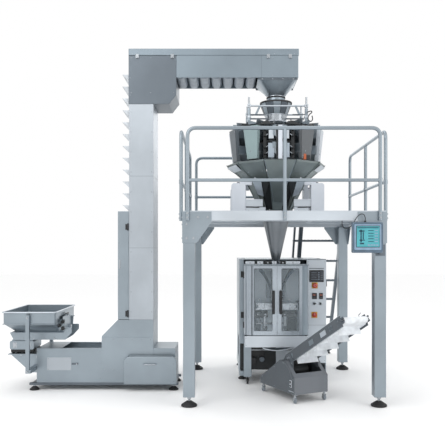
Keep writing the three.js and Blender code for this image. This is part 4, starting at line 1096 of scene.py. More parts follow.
def add_discharge_hopper():
    low, high = box_of("discharge_hopper")
    top_z, neck_z, radius = high.z, high.z - 0.165, 0.105
    wall = 0.005
    hopper = Piece("discharge_chute")
    steps = 40

    def square_to_round(t, inset):
        """A ring that goes from the square mouth at t = 0 to the round neck at t = 1."""
        ring = []
        for i in range(steps):
            angle = 2 * math.pi * (i + 0.5) / steps
            c, s = math.cos(angle), math.sin(angle)
            reach = 1 / max(abs(c), abs(s))
            half_x = (high.x - low.x) / 2 - inset
            half_y = (high.y - low.y) / 2 - inset
            mouth = Vector((c * reach * half_x + (low.x + high.x) / 2, s * reach * half_y, top_z))
            neck = Vector((c * (radius - inset), s * (radius - inset), neck_z))
            ring.append(mouth.lerp(neck, t))
        return ring

    outer = [square_to_round(t / 5, 0) for t in range(6)]
    inner = [square_to_round(t / 5, wall) for t in range(5, -1, -1)]
    hopper.loft(outer + inner, "steel", loop=True)
    neck = band(radius - wall, radius, neck_z + 0.002 - low.z, 0.0)
    hopper.turned(neck, (0, 0, low.z), "steel")
    hopper.turned(
        [(radius, 0), (radius + 0.007, 0.004), (radius + 0.007, 0.012), (radius, 0.016)],
        (0, 0, low.z + 0.030), "rubber",
    )
    hopper.turned(
        [(radius, 0), (radius + 0.006, 0.001), (radius + 0.006, 0.007), (radius, 0.008)],
        (0, 0, neck_z - 0.006), "polished",
    )
    for side in (-1, 1):
        hopper.block(
            (low.x, side * (high.y - 0.006) - 0.004, top_z - 0.022),
            (high.x, side * (high.y - 0.006) + 0.004, top_z), "dark",
        )
        for x in spaced(low.x + 0.05, high.x - 0.05, 4):
            hopper.bolt((x, side * (high.y - 0.002), top_z - 0.011), (0, side, 0), SMALL_HEAD)
    hopper.done("root", ["discharge_hopper"])


def add_gear_motor():
    near = box_of("gear_motor")[0].y
    shaft_x, shaft_z = 0.08, 3.700
    fins = 28
    case_radius = 0.050
    motor = Piece("gear_motor_drive")
    motor.bar("y", (shaft_x, shaft_z), near, near + 0.010, 0.070, "grey_paint", sides=40)
    motor.block((0.02, near + 0.008, 3.630), (0.14, near + 0.118, 3.770), "grey_paint")
    motor.bar("y", (shaft_x, shaft_z), near + 0.118, near + 0.1185, 0.045, "polished")
    y = near + 0.063
    motor.bar("x", (y, shaft_z), 0.03, -0.155, case_radius, "grey_paint", sides=40)
    for i in range(fins):
        t = 2 * math.pi * i / fins
        out = Vector((0, math.cos(t), math.sin(t)))
        place = Vector((-0.062, y, shaft_z)) + out * (case_radius + 0.004)
        turned = Matrix.Translation(place) @ Matrix.Rotation(t, 4, "X")
        motor.block((-0.080, -0.0045, -0.001), (0.080, 0.0045, 0.001), "grey_paint", turned=turned)
    motor.turned(
        [(0, 0), (0.052, 0), (0.0615, 0.006), (0.0615, 0.038), (0.055, 0.040), (0, 0.040)],
        (-0.190, y, shaft_z), "grey_paint", axis=RIGHT,
    )
    for k in range(5):
        radius = 0.012 + k * 0.009
        motor.turned(band(radius, radius + 0.003, 0, 0.003), (-0.1925, y, shaft_z), "black", axis=RIGHT)
    motor.block((-0.105, y - 0.035, 3.748), (-0.035, y + 0.035, 3.7605), "grey_paint")
    motor.done("root", ["gear_motor"], bevel=0.0015)


def add_catch_box_rim():
    low, high = box_of("catch_box")
    rim = Piece("catch_box_fittings")
    middle = (low.x + high.x) / 2
    rim.screws(((low.x + 0.03, high.x - 0.03), (low.y,), (low.z + 0.03, low.z + 0.23)), TO_FRONT, MEDIUM_HEAD)
    grip = bent(
        [
            (middle - 0.07, low.y, 0.31), (middle - 0.07, low.y - 0.035, 0.31),
            (middle + 0.07, low.y - 0.035, 0.31), (middle + 0.07, low.y, 0.31),
        ], 0.015,
    )
    rim.tube(grip, 0.006, "polished")
    rim.done("root")


# --------------------------------------------------------------------------------------------
# Vibratory feeder
# --------------------------------------------------------------------------------------------


def add_feed_hopper():
    low, high = box_of("feed_hopper")
    wall = 0.004
    x0, x1 = low.x + 0.021, low.x + 0.601
    y0, y1 = low.y + 0.017, high.y - 0.017
    shoulder = low.z + 0.106
    hopper = Piece("feed_hopper_body")

    def ring(z, a0, a1, b0, b1, radius):
        points = []
        for cx, cy, start in ((a1 - radius, b0 + radius, -90), (a1 - radius, b1 - radius, 0),
                              (a0 + radius, b1 - radius, 90), (a0 + radius, b0 + radius, 180)):
            for i in range(5):
                angle = math.radians(start + 90 * i / 4)
                points.append(Vector((cx + radius * math.cos(angle), cy + radius * math.sin(angle), z)))
        return points

    def shell(inset):
        return [
            ring(high.z - 0.002, x0 + inset, x1 - inset, y0 + inset, y1 - inset, 0.020),
            ring(shoulder + 0.010, x0 + inset, x1 - inset, y0 + inset, y1 - inset, 0.020),
            ring(
                shoulder - 0.004, x0 + 0.004 + inset, x1 - 0.003 - inset, y0 + 0.010 + inset,
                y1 - 0.010 - inset, 0.022,
            ),
            ring(low.z, x0 + 0.040 + inset, x1 - 0.020 - inset, -0.165 + inset, 0.165 - inset, 0.012),
        ]

    hopper.loft(shell(0) + shell(wall)[::-1], "steel_level", loop=True)
    edge = [ring(high.z - 0.006, x0 - 0.010, x1 + 0.010, y0 - 0.010, y1 + 0.010, 0.026)[i] for i in range(20)]
    edge = edge + [edge[0], edge[1]]
    hopper.tube(edge, 0.0075, "bright", sides=12)
    hopper.tube(
        [point - Vector((0, 0, high.z - 0.006 - shoulder)) for point in edge[:-1]], 0.003, "steel_level",
        sides=8,
    )
    for y in (-0.205, 0.205):
        foot = low.z + 0.026
        outline = [
            (x1 - 0.064, foot), (x1 + 0.048, foot), (x1 + 0.055, foot + 0.11), (x1 - 0.004, foot + 0.11),
        ]
        hopper.prism(outline, "y", y - 0.003, y + 0.003, "steel_level")
        hopper.screw((x1 + 0.02, y - 0.003, low.z + 0.08), TO_FRONT, MEDIUM_HEAD)
    for x, z in ((x1 + 0.036, low.z + 0.112), (x1 - 0.008, low.z + 0.070), (x1 + 0.038, low.z + 0.036)):
        add_clamp_knob(hopper, (x, -0.208, z))
    hopper.screws((spaced(x0 + 0.05, x1 - 0.05, 6), (y0,), (high.z - 0.045,)), TO_FRONT, FINE_HEAD)
    hopper.done("root", ["feed_hopper"])


def add_clamp_knob(piece, place):
    """A black star knob on its stud."""
    x, y, z = place
    piece.bar("y", (x, z), y, y - 0.020, 0.008, "polished")
    piece.turned(
        [(0, 0), (0.017, 0.001), (0.0205, 0.005), (0.0205, 0.015), (0.015, 0.020), (0, 0.021)],
        (x, y - 0.018, z), "black", axis=TO_FRONT,
    )
    for i in range(7):
        t = 2 * math.pi * i / 7
        dx, dz = 0.019 * math.cos(t), 0.019 * math.sin(t)
        piece.bar("y", (x + dx, z + dz), y - 0.022, y - 0.035, 0.0055, "black", sides=10)


def add_feed_gate_fittings():
    low, high = box_of("feed_gate")
    fittings = Piece("gate_grip")
    middle = (low.x + high.x) / 2
    for y in (-0.05, 0.05):
        fittings.bar("z", (middle, y), high.z - 0.006, high.z + 0.014, 0.006, "polished")
    fittings.tube([(middle, -0.058, high.z + 0.016), (middle, 0.058, high.z + 0.016)], 0.008, "black")
    fittings.done("gate")


def add_feeder_pan():
    low, high = box_of("feeder_pan")
    floor = low.z + 0.003
    edge = low.z + 0.086
    nose = high.x - 0.073
    sheet = 0.003
    pan = Piece("vibrating_trough")
    side_outline = [
        (low.x, edge),
        (low.x, edge - 0.013),
        (low.x + 0.038, floor),
        (nose, floor),
        (high.x, edge - 0.005),
        (high.x, high.z),
        (high.x - 0.078, high.z),
        (high.x - 0.088, edge),
    ]
    for y0, y1 in ((low.y, low.y + sheet), (high.y - sheet, high.y)):
        pan.prism(side_outline, "y", y0, y1, "steel_level")
        middle = (y0 + y1) / 2
        hem = [(x, middle, z) for x, z in side_outline[4:] + side_outline[:1]]
        pan.tube(bent(hem, 0.006), 0.0042, "steel_level", sides=10)
        pan.block(
            (low.x + 0.12, middle - 0.003, floor + 0.012), (nose - 0.16, middle + 0.003, floor + 0.026),
            "steel",
        )
        for i in range(4):
            x = low.x + 0.15 + i * 0.12
            pan.bolt((x, middle, floor + 0.019), (0, -1 if middle < 0 else 1, 0), MEDIUM_HEAD)
    back = [
        (low.x, edge),
        (low.x, edge - 0.013),
        (low.x + 0.038, floor),
        (nose, floor),
        (nose, floor + sheet),
        (low.x + 0.040, floor + sheet),
        (low.x + sheet, edge - 0.012),
        (low.x + sheet, edge),
    ]
    pan.prism(back, "y", low.y + 0.001, high.y - 0.001, "steel_level")
    for x in (low.x + 0.10, low.x + 0.22):
        pan.block((x - 0.03, -0.06, low.z), (x + 0.03, 0.06, floor + 0.001), "dark")
    pan.done("vibrating_pan", ["feeder_pan"])


def add_feeder_drive():
    low, high = box_of("feeder_drive")
    body_bottom = low.z + 0.0125
    drive = Piece("vibrator")
    round_box(
        drive, (low.x, low.y, body_bottom + 0.03), (high.x, high.y, high.z - 0.012), 0.020, "steel_level",
    )
    drive.block(
        (low.x + 0.01, low.y + 0.01, body_bottom), (high.x - 0.01, high.y - 0.01, body_bottom + 0.034),
        "black",
    )
    drive.block((low.x + 0.02, low.y + 0.02, high.z - 0.014), (high.x - 0.02, high.y - 0.02, high.z), "steel")
    for side in (low.y, high.y):
        out = -1 if side == low.y else 1
        for x in (low.x + 0.06, high.x - 0.06):
            drive.block(
                (x - 0.022, side - 0.001, body_bottom + 0.05), (x + 0.022, side + 0.001, high.z - 0.03),
                "polished",
            )
            for z in (body_bottom + 0.06, high.z - 0.04):
                drive.bolt((x, side, z), (0, out, 0), LARGE_HEAD)
    for x in (low.x + 0.030, high.x - 0.033):
        for y in (-0.110, 0.110):
            drive.turned(
                [(0, 0), (0.016, 0), (0.019, 0.004), (0.019, 0.009), (0.016, 0.013), (0, 0.013)],
                (x, y, low.z), "rubber", sides=24,
            )
    drive.done("root", ["feeder_drive"], bevel=0.001)


def add_feeder_stand_caps():
    low, high = box_of("feeder_stand")
    caps = Piece("feeder_stand_caps")
    post_x, post_half = -2.792, 0.017
    for side, face in ((-1, low.y), (1, high.y)):
        y = face - side * 0.02
        caps.bolts(((post_x,), (face,), (0.25, 0.845)), (0, side, 0), GUSSET_HEAD)
        cap_low, cap_high = (post_x - post_half, y - post_half), (post_x + post_half, y + post_half)
        caps.block((*cap_low, high.z), (*cap_high, high.z + 0.003), "black")
        for x, z in ((-2.78, 0.21), (-2.78, 0.36), (-2.96, 0.38)):
            caps.bolt((x, side * 0.154, z), (0, side, 0), LARGE_HEAD)
    caps.done("root")


# --------------------------------------------------------------------------------------------
# Multihead weigher: ten heads round a drive housing
# --------------------------------------------------------------------------------------------

HEADS = 10
HEAD_STEP = 2 * math.pi / HEADS
HEAD_ANGLES = [(i + 0.5) * HEAD_STEP for i in range(HEADS)]
FRONT_HEAD = 7  # the head straight in front of the operator
RING_Z = 2.380
BODY_BOTTOM = 2.600
BODY_TOP = 3.003


def at_angle(angle):
    """The frame of one head: local +X points outward from the weigher's axis."""
    return AT_AXIS @ Matrix.Rotation(angle, 4, "Z")


def petal(piece, places, finish, thickness=0.003, flange=0.0, tuck=0.004):
    """A flat sheet petal through (distance out, height) places, as wide as its tenth of the round."""
    rows = []
    for out, z in places:
        half = out * math.tan(HEAD_STEP / 2) - tuck
        rows.append((out, half, z))
    for (r0, w0, z0), (r1, w1, z1) in zip(rows, rows[1:]):
        corners = [(r0, -w0, z0), (r0, w0, z0), (r1, w1, z1), (r1, -w1, z1)]
        lean = Vector((z1 - z0, 0, -(r1 - r0))).normalized() * thickness
        piece.sheet(corners, -lean, finish)
    if flange:
        for side in (-1, 1):
            for (r0, w0, z0), (r1, w1, z1) in zip(rows, rows[1:]):
                edge = [(r0, side * w0, z0), (r1, side * w1, z1)]
                lifted = [
                    (r1 + flange, side * w1, z1 + 0.2 * flange),
                    (r0 + flange, side * w0, z0 + 0.2 * flange),
                ]
                piece.sheet(edge + lifted, (0, -side * thickness, 0), finish)


SIDEWAYS = 0.75  # cosine of the angle from the left-right line within which a head counts as sideways


def add_discharge_bowl():
    low, high = box_of("discharge_bowl")
    rim = high.z
    bowl = Piece("petal_chutes")
    reach = (high.x - low.x) / 2
    for angle in HEAD_ANGLES:
        bowl.matrix = at_angle(angle)
        petal(
            bowl, [(0.336, low.z), (reach * 0.965, rim - 0.020), (reach * 0.985, rim)], "blasted",
            flange=0.012,
        )
        half = 0.5 * reach * math.tan(HEAD_STEP / 2)
        for y in (-half, half):
            bowl.screw((reach * 0.80, y, rim - 0.115), (0.66, 0, -0.75), MEDIUM_HEAD)
    # Only the petals at the left and right get a bright lip sheet: painted highlight where their rims turn
    # edge-on.
    for angle in HEAD_ANGLES:
        if abs(math.cos(angle)) < SIDEWAYS:
            continue
        bowl.matrix = at_angle(angle)
        lip = [
            (reach * 0.86, -0.12, rim - 0.085), (reach * 0.86, 0.12, rim - 0.085),
            (reach * 1.0, 0.15, rim - 0.03), (reach * 1.0, -0.15, rim - 0.03),
        ]
        bowl.sheet(lip, (-0.002, 0, -0.003), "bright")
    add_front_chute(bowl, rim)
    bowl.done("root", ["discharge_bowl"])


def add_front_chute(bowl, rim):
    """The long chute that hangs from the front petal down over the collecting cone."""
    bowl.matrix = at_angle(HEAD_ANGLES[FRONT_HEAD])
    widths = [
        (0.552, 0.172, rim - 0.008), (0.425, 0.112, 2.398), (0.415, 0.100, 2.370), (0.245, 0.048, 2.150),
    ]
    for (r0, w0, z0), (r1, w1, z1) in zip(widths, widths[1:]):
        face = [(r0, -w0, z0), (r0, w0, z0), (r1, w1, z1), (r1, -w1, z1)]
        bowl.sheet(face, (-0.003, 0, -0.002), "blasted")
        for side in (-1, 1):
            bowl.rod((r0, side * w0, z0), (r1, side * w1, z1), 0.0035, "steel", sides=10)
    for side in (-1, 1):
        # On each side, a dark wing and a bright flap of the same steel: painted shade on the wing, painted
        # highlight on the flap.
        wing = [(0.415, side * 0.106, 2.372), (0.405, side * 0.190, 2.372), (0.300, side * 0.150, 2.200)]
        bowl.sheet(wing, (-0.003, 0, -0.002), "hollow_dark")
        flap = [
            (0.400, side * 0.200, 2.374), (0.385, side * 0.300, 2.374), (0.300, side * 0.230, 2.230),
            (0.300, side * 0.165, 2.205),
        ]
        bowl.sheet(flap, (-0.003, 0, -0.002), "bright")


def add_discharge_cone():
    low, high = box_of("discharge_cone")
    cone = Piece("collecting_cone")
    deck = box_of("deck_plate")[1].z
    throat, foot = 0.175, 0.045
    collar_z = 2.06
    front = HEAD_ANGLES[FRONT_HEAD]
    for angle in HEAD_ANGLES:
        cone.matrix = at_angle(angle)
        beside_front = abs(abs(angle - front) - HEAD_STEP) < 0.01
        if beside_front:
            petal(cone, [(throat * 0.8, 2.07), (0.235, high.z - 0.03), (0.325, high.z)], "hollow_dark")
        else:
            petal(cone, [(throat, collar_z), (0.322, high.z - 0.002)], "blasted", flange=0.008)
            cone.bolt((0.245, 0.02, 2.215), (0.85, 0, -0.4), MEDIUM_HEAD)
    cone.matrix = AT_AXIS
    wall = 0.005
    profile = [
        (foot, low.z), (0.165, deck), (0.182, collar_z), (0.182 - wall, collar_z + 0.002),
        (0.165 - wall, deck), (foot - wall, low.z),
    ]
    cone.turned(profile, (0, 0, 0), "cone_steel", sides=64)
    cone.turned([(0.166, 2.004), (0.196, 2.006), (0.196, 2.014), (0.168, 2.018)], (0, 0, 0), "black")
    cone.turned(
        [
            (foot, low.z), (foot + 0.004, low.z), (foot + 0.006, low.z + 0.010),
            (foot + 0.002, low.z + 0.012),
        ], (0, 0, 0), "polished",
    )
    seam = [(foot + 0.001, 0, low.z + 0.01), (0.166, 0, deck), (0.183, 0, 2.058)]
    cone.matrix = at_angle(math.radians(255))
    cone.tube(seam, 0.0022, "cone_steel", sides=8)
    cone.matrix = AT_AXIS
    cone.turned(
        [(0.322, high.z - 0.003), (0.347, high.z - 0.002), (0.347, high.z), (0.318, high.z)], (0, 0, 0),
        "blasted",
    )
    cone.done("root", ["discharge_cone"])


def add_weigher_base():
    low, high = box_of("weigher_base")
    base = Piece("weigher_stand")
    foot = low.z
    leg_top = 2.346
    leg_depth = 0.150
    radius, steps = 0.030, 5  # of a leg's rounded upper corners
    turns = spaced(0, math.pi / 2, steps + 1)
    for x0, x1 in ((low.x, low.x + 0.160), (high.x - 0.146, high.x)):
        for y0, y1 in ((low.y, low.y + leg_depth), (high.y - leg_depth, high.y)):
            middle_z = leg_top - radius
            outline = [(x0, foot), (x1, foot)]
            outline += [(x1 - radius + radius * math.cos(t), middle_z + radius * math.sin(t)) for t in turns]
            outline += [(x0 + radius - radius * math.sin(t), middle_z + radius * math.cos(t)) for t in turns]
            base.prism(outline, "y", y0, y1, "white_paint")
            base.block((x0 - 0.006, y0 - 0.006, foot), (x1 + 0.006, y1 + 0.006, foot + 0.008), "white_paint")
            middle = Vector(((x0 + x1) / 2, (y0 + y1) / 2, leg_top))
            base.rod(middle, middle + Vector((0, 0, 0.018)), 0.012, "dark")
            base.rod(middle + Vector((0, 0, 0.004)), middle + Vector((0, 0, 0.014)), 0.019, "dark", sides=6)
            for x in (x0 + 0.02, x1 - 0.02):
                base.bolt((x, y0 + 0.012, foot + 0.008), (0, 0, 1), MEDIUM_HEAD)
            arm_y = y0 + 0.050
            inner = (x1 - 0.060, -0.300) if x0 < 0 else (0.290, x0 + 0.060)
            base.block((inner[0], arm_y, 2.330), (inner[1], arm_y + 0.060, RING_Z + 0.014), "white_paint")
    base.turned(
        [(0.336, 0), (0.399, 0), (0.400, 0.002), (0.400, 0.012), (0.399, 0.014), (0.336, 0.014)],
        (0, 0, RING_Z), "blasted", sides=64,
    )
    bar_bottom, bar_top = 2.100, 2.145
    bar_near, bar_far = 0.280, 0.320
    base.block((-0.380, bar_near, bar_bottom), (0.370, bar_far, bar_top), "white_paint")
    for x0, x1 in ((-0.380, -0.190), (0.180, 0.370)):
        base.block((x0, -bar_far, bar_bottom), (x1, -bar_near, bar_top), "white_paint")
    for side, edge in ((-1, low.x + 0.162), (1, high.x - 0.148)):
        reach = 0.19
        x0, x1 = sorted((edge, edge - side * reach))
        base.block((x0, low.y + 0.012, 2.085), (x1, low.y + 0.016, 2.165), "bright")
        base.block((x0, low.y + 0.006, 2.158), (x1, low.y + 0.030, 2.166), "white_paint")
        base.block((x0, low.y - 0.002, foot), (x1 - 0.03 * side, low.y + 0.004, 2.075), "bright")
        base.rod((edge, low.y - 0.004, 2.078), (edge - side * 0.15, low.y - 0.004, 2.074), 0.006, "black")
        base.bolt((edge - side * 0.03, low.y - 0.002, 2.03), TO_FRONT, FRAME_HEAD)
        base.bolt((edge - side * 0.14, low.y - 0.002, 2.03), TO_FRONT, FRAME_HEAD)
    base.done("root", ["weigher_base"], bevel=0.0015)


def add_weigher_body():
    body = Piece("drive_housing")
    core = [
        (0, BODY_BOTTOM), (0.403, BODY_BOTTOM), (0.405, BODY_BOTTOM + 0.002), (0.405, BODY_BOTTOM + 0.012),
        (0.236, BODY_BOTTOM + 0.014), (0.236, 2.985), (0.423, 2.992), (0.425, 2.994), (0.425, BODY_TOP),
        (0, BODY_TOP),
    ]
    body.turned(core, (0, 0, 0), "steel", sides=64)
    for angle in (45, 135, 225, 315):
        body.matrix = at_angle(math.radians(angle))
        body.bar("z", (0.362, 0), RING_Z + 0.0145, BODY_BOTTOM + 0.002, 0.015, "polished")
        body.bar("z", (0.362, 0), RING_Z + 0.0145, RING_Z + 0.026, 0.024, "polished", sides=6)
    for angle in HEAD_ANGLES:
        body.matrix = at_angle(angle)
        add_radial_pan(body)
        add_head_drive(body)
        body.matrix = at_angle(angle + HEAD_STEP / 2)
        ridge = [(0.36, -0.070, BODY_TOP), (0.36, 0.070, BODY_TOP), (0.36, 0, BODY_TOP + 0.050)]
        outer = [
            (0.49, -0.095, BODY_TOP - 0.010), (0.49, 0.095, BODY_TOP - 0.010), (0.49, 0, BODY_TOP + 0.030),
        ]
        body.loft([ridge, outer], "hollow_dark")
        body.bar("z", (0.43, 0), BODY_TOP + 0.03, BODY_TOP + 0.052, 0.005, "black")
    body.done("root", ["weigher_body"], bevel=0.0008)


def add_radial_pan(piece):
    """A radial tray with a flat floor, two flared sides and a back."""
    wall = 0.002
    inner_z, outer_z, lip_z = 3.008, 3.006, 3.056
    for side in (-1, 1):
        outline = [
            (0.200, side * 0.040, inner_z), (0.505, side * 0.052, outer_z), (0.515, side * 0.064, lip_z),
            (0.196, side * 0.050, lip_z),
        ]
        piece.sheet(outline, (0, -side * wall, 0), "steel")
    floor = [
        (0.200, -0.040, inner_z), (0.505, -0.052, outer_z), (0.505, 0.052, outer_z),
        (0.200, 0.040, inner_z),
    ]
    piece.sheet(floor, (0, 0, wall), "steel")
    back = [(0.198, -0.045, inner_z), (0.198, 0.045, inner_z), (0.196, 0.050, lip_z), (0.196, -0.050, lip_z)]
    piece.sheet(back, (wall, 0, 0), "steel")


def add_head_drive(piece):
    """The stepper motor box of one head, with the two lever arms that open its hoppers."""
    face = 0.300
    piece.block((0.234, -0.055, 2.650), (face, 0.055, 2.950), "drive_box")
    for z in (2.672, 2.928):
        piece.screws(((face,), (-0.043, 0.043), (z,)), RIGHT, SMALL_HEAD)
    for z in (2.705, 2.870):
        for y in (-0.034, 0.034):
            piece.bar("x", (y, z), 0.298, 0.322, 0.012, "polished")
            piece.rod((0.314, y, z), (0.322, y + 0.018, z + 0.038), 0.005, "polished", sides=10)
            piece.bar("x", (y + 0.018, z + 0.038), 0.318, 0.334, 0.009, "black", sides=14)
    piece.tube(
        [
            (0.300, 0.02, 2.79), (0.315, 0.05, 2.775), (0.312, 0.085, 2.74), (0.30, 0.10, 2.69),
            (0.29, 0.105, 2.62),
        ], 0.004, "black", sides=8,
    )


PULL_SPRING_RADIUS = 0.0035


def add_bin(piece, out, half, top, bottom, finish, flap="steel"):
    """A small sheet hopper with two bottom flaps, their hinge pins, rollers and pull springs."""
    (x0, x1), wall = out, 0.002
    drop = (top - bottom) * 0.62
    for side in (-1, 1):
        plate = [
            (x0, side * half, top), (x1, side * half, top), (x1 - 0.006, side * half * 0.94, top - drop),
            (x0 + 0.006, side * half * 0.94, top - drop),
        ]
        piece.sheet(plate, (0, -side * wall, 0), finish)
        gate = [
            (x0 + 0.004, side * half * 0.97, top - drop + 0.01),
            (x1 - 0.004, side * half * 0.97, top - drop + 0.01), (x1 - 0.010, side * 0.003, bottom),
            (x0 + 0.010, side * 0.003, bottom),
        ]
        piece.sheet(gate, (0, side * wall, -wall), flap)
        for x in (x0 - 0.002, x1 + 0.002):
            piece.bar(
                "x", (side * half * 0.6, top - drop * 0.55), x - 0.005, x + 0.005, 0.007, "polished",
                sides=14,
            )
            hinge_y = side * half * 0.6
            arm = [(hinge_y, top - drop * 0.62), (side * half * 0.75, top - drop * 0.5)]
            arm += [(side * half * 0.55, bottom + 0.03), (side * half * 0.40, bottom + 0.03)]
            piece.prism(arm, "x", x - 0.0015, x + 0.0015, "polished")
        coil = []
        for k in range(44):
            across, along = PULL_SPRING_RADIUS * math.cos(k * 1.2), PULL_SPRING_RADIUS * math.sin(k * 1.2)
            coil.append((x1 + 0.006 + across, side * half * 0.30 + along, top - drop * 0.4 - k * 0.0011))
        piece.tube(coil, 0.0009, "polished", sides=5)
    for x in (x0, x1):
        inset = 0.006 if x == x0 else -0.006
        plate = [
            (x, -half, top), (x, half, top), (x + inset, half * 0.94, top - drop),
            (x + inset * 1.4, 0.01, bottom + 0.004), (x + inset * 1.4, -0.01, bottom + 0.004),
            (x + inset, -half * 0.94, top - drop),
        ]
        piece.sheet(plate, (wall if x == x0 else -wall, 0, 0), finish)
    piece.tube(
        [(x0, -half, top), (x1, -half, top), (x1, half, top), (x0, half, top), (x0, -half, top)], 0.0022,
        finish, sides=8,
    )


# Every head's cover is the same stainless sheet. The finish each takes here depends on where it stands to the
# camera and lights, so it is a painted reflection. Heads 4 and 9, at the sides, take bright steel as a
# painted highlight, and the rest keep plain steel.
COVER_PAINTED_REFLECTION = {6: "painted_reflection_green", 8: "painted_reflection_grey", 5: "painted_reflection_slate", 9: "bright", 4: "bright"}


def add_hopper_ring():
    ring = Piece("weigh_heads")
    ring.turned(
        [
            (0.262, 0), (0.330, 0), (0.330, 0.004), (0.266, 0.004), (0.266, 0.056), (0.330, 0.056),
            (0.330, 0.060), (0.262, 0.060),
        ], (0, 0, 2.830), "dark", sides=64,
    )
    for i, angle in enumerate(HEAD_ANGLES):
        ring.matrix = at_angle(angle)
        add_bin(ring, (0.345, 0.500), 0.078, 2.975, 2.815, "steel")
        add_bin(ring, (0.345, 0.498), 0.082, 2.790, 2.628, "steel", "bright")
        for y in (-0.070, 0.070):
            ring.bar("x", (y, 2.86), 0.31, 0.345, 0.006, "polished", sides=12)
            ring.rod((0.28, y, 2.66), (0.345, y, 2.70), 0.005, "black", sides=10)
            ring.block((0.300, y - 0.004, 2.70), (0.350, y + 0.004, 2.76), "hollow_dark")
        if i == FRONT_HEAD:
            add_open_head(ring)
        else:
            add_head_cover(ring, COVER_PAINTED_REFLECTION.get(i, "steel"))
    ring.matrix = at_angle(HEAD_ANGLES[8] - 0.05)
    ring.block((0.506, -0.012, 2.605), (0.522, 0.020, 2.668), "orange")
    ring.block((0.500, 0.025, 2.610), (0.516, 0.080, 2.660), "black")
    ring.done("root", ["hopper_ring"], bevel=0.0006)


def add_head_cover(piece, finish):
    """The sheet cover that hangs outside a head, narrower below, its side edges folded in."""
    top, bottom = 2.978, 2.615
    top_out, bottom_out = 0.548, 0.512
    top_half, bottom_half = 0.098, 0.066
    outline = [
        (top_out, -top_half, top), (top_out, top_half, top), (bottom_out, bottom_half, bottom),
        (bottom_out, -bottom_half, bottom),
    ]
    piece.sheet(outline, (-0.003, 0, 0), finish)
    for side in (-1, 1):
        fold = [
            (top_out, side * top_half, top), (bottom_out, side * bottom_half, bottom),
            (bottom_out - 0.045, side * bottom_half, bottom), (top_out - 0.045, side * top_half, top),
        ]
        piece.sheet(fold, (0, -side * 0.003, 0), finish)
    cap = [
        (top_out, -top_half, top), (top_out, top_half, top), (top_out - 0.10, top_half * 0.9, top + 0.004),
        (top_out - 0.10, -top_half * 0.9, top + 0.004),
    ]
    piece.sheet(cap, (0, 0, -0.003), finish)
    for z, half in ((top - 0.03, 0.078), (bottom + 0.03, 0.050), (2.74, 0.060)):
        out = bottom_out + (top_out - bottom_out) * (z - bottom) / (top - bottom)
        for y in (-half, half):
            piece.screw((out, y, z), (1, 0, -0.1), SMALL_HEAD)
    piece.bar("x", (-0.02, 2.70), bottom_out, bottom_out + 0.012, 0.007, "polished", sides=12)


def add_open_head(piece):
    """The front head, with its cover off: a white centre post between two pale plates."""
    bottom, top = 2.600, 2.972
    piece.block((0.506, -0.018, bottom), (0.530, 0.026, top), "white_paint")
    piece.block((0.500, -0.040, bottom), (0.516, -0.022, top), "hollow_dark")
    for y0, y1 in ((-0.120, -0.066), (0.058, 0.104)):
        piece.block((0.470, y0, 2.830), (0.486, y1, 2.960), "bright")
        piece.block((0.478, y0 - 0.006, 2.620), (0.494, y1 + 0.004, 2.780), "pale_blue")
        piece.block((0.468, y0 - 0.02, 2.795), (0.492, y1 + 0.02, 2.803), "black")
    for side, spread in ((-1, 0.16), (1, 0.15)):
        for z in (2.66, 2.73, 2.86, 2.93):
            piece.rod((0.44, side * spread, z), (0.49, side * spread, z + 0.008), 0.011, "black", sides=16)
            piece.rod(
                (0.475, side * spread, z), (0.475, side * (spread - 0.035), z + 0.024), 0.005, "polished",
                sides=10,
            )
        piece.block((0.43, side * spread - 0.018, 2.62), (0.445, side * spread + 0.018, 2.97), "hollow_dark")


def add_dispersion_cone():
    low, high = box_of("dispersion_cone")
    cone = Piece("dispersion_disc")
    radius = (high.x - low.x) / 2
    rim = BODY_TOP + 0.008
    profile = [
        (0, rim), (radius - 0.004, rim), (radius, rim + 0.002), (radius, rim + 0.005),
        (radius * 0.9, rim + 0.011), (radius * 0.4, rim + 0.040), (radius * 0.1, rim + 0.056),
        (0, rim + 0.058),
    ]
    cone.turned(profile, (0, 0, 0), "bright", sides=64)
    cone.bar("z", (0, 0), low.z, rim + 0.002, 0.03, "dark")
    cone.bolt((0, 0, rim + 0.054), (0, 0, 1), FRAME_HEAD)
    cone.done("vibrating_cone", ["dispersion_cone"])


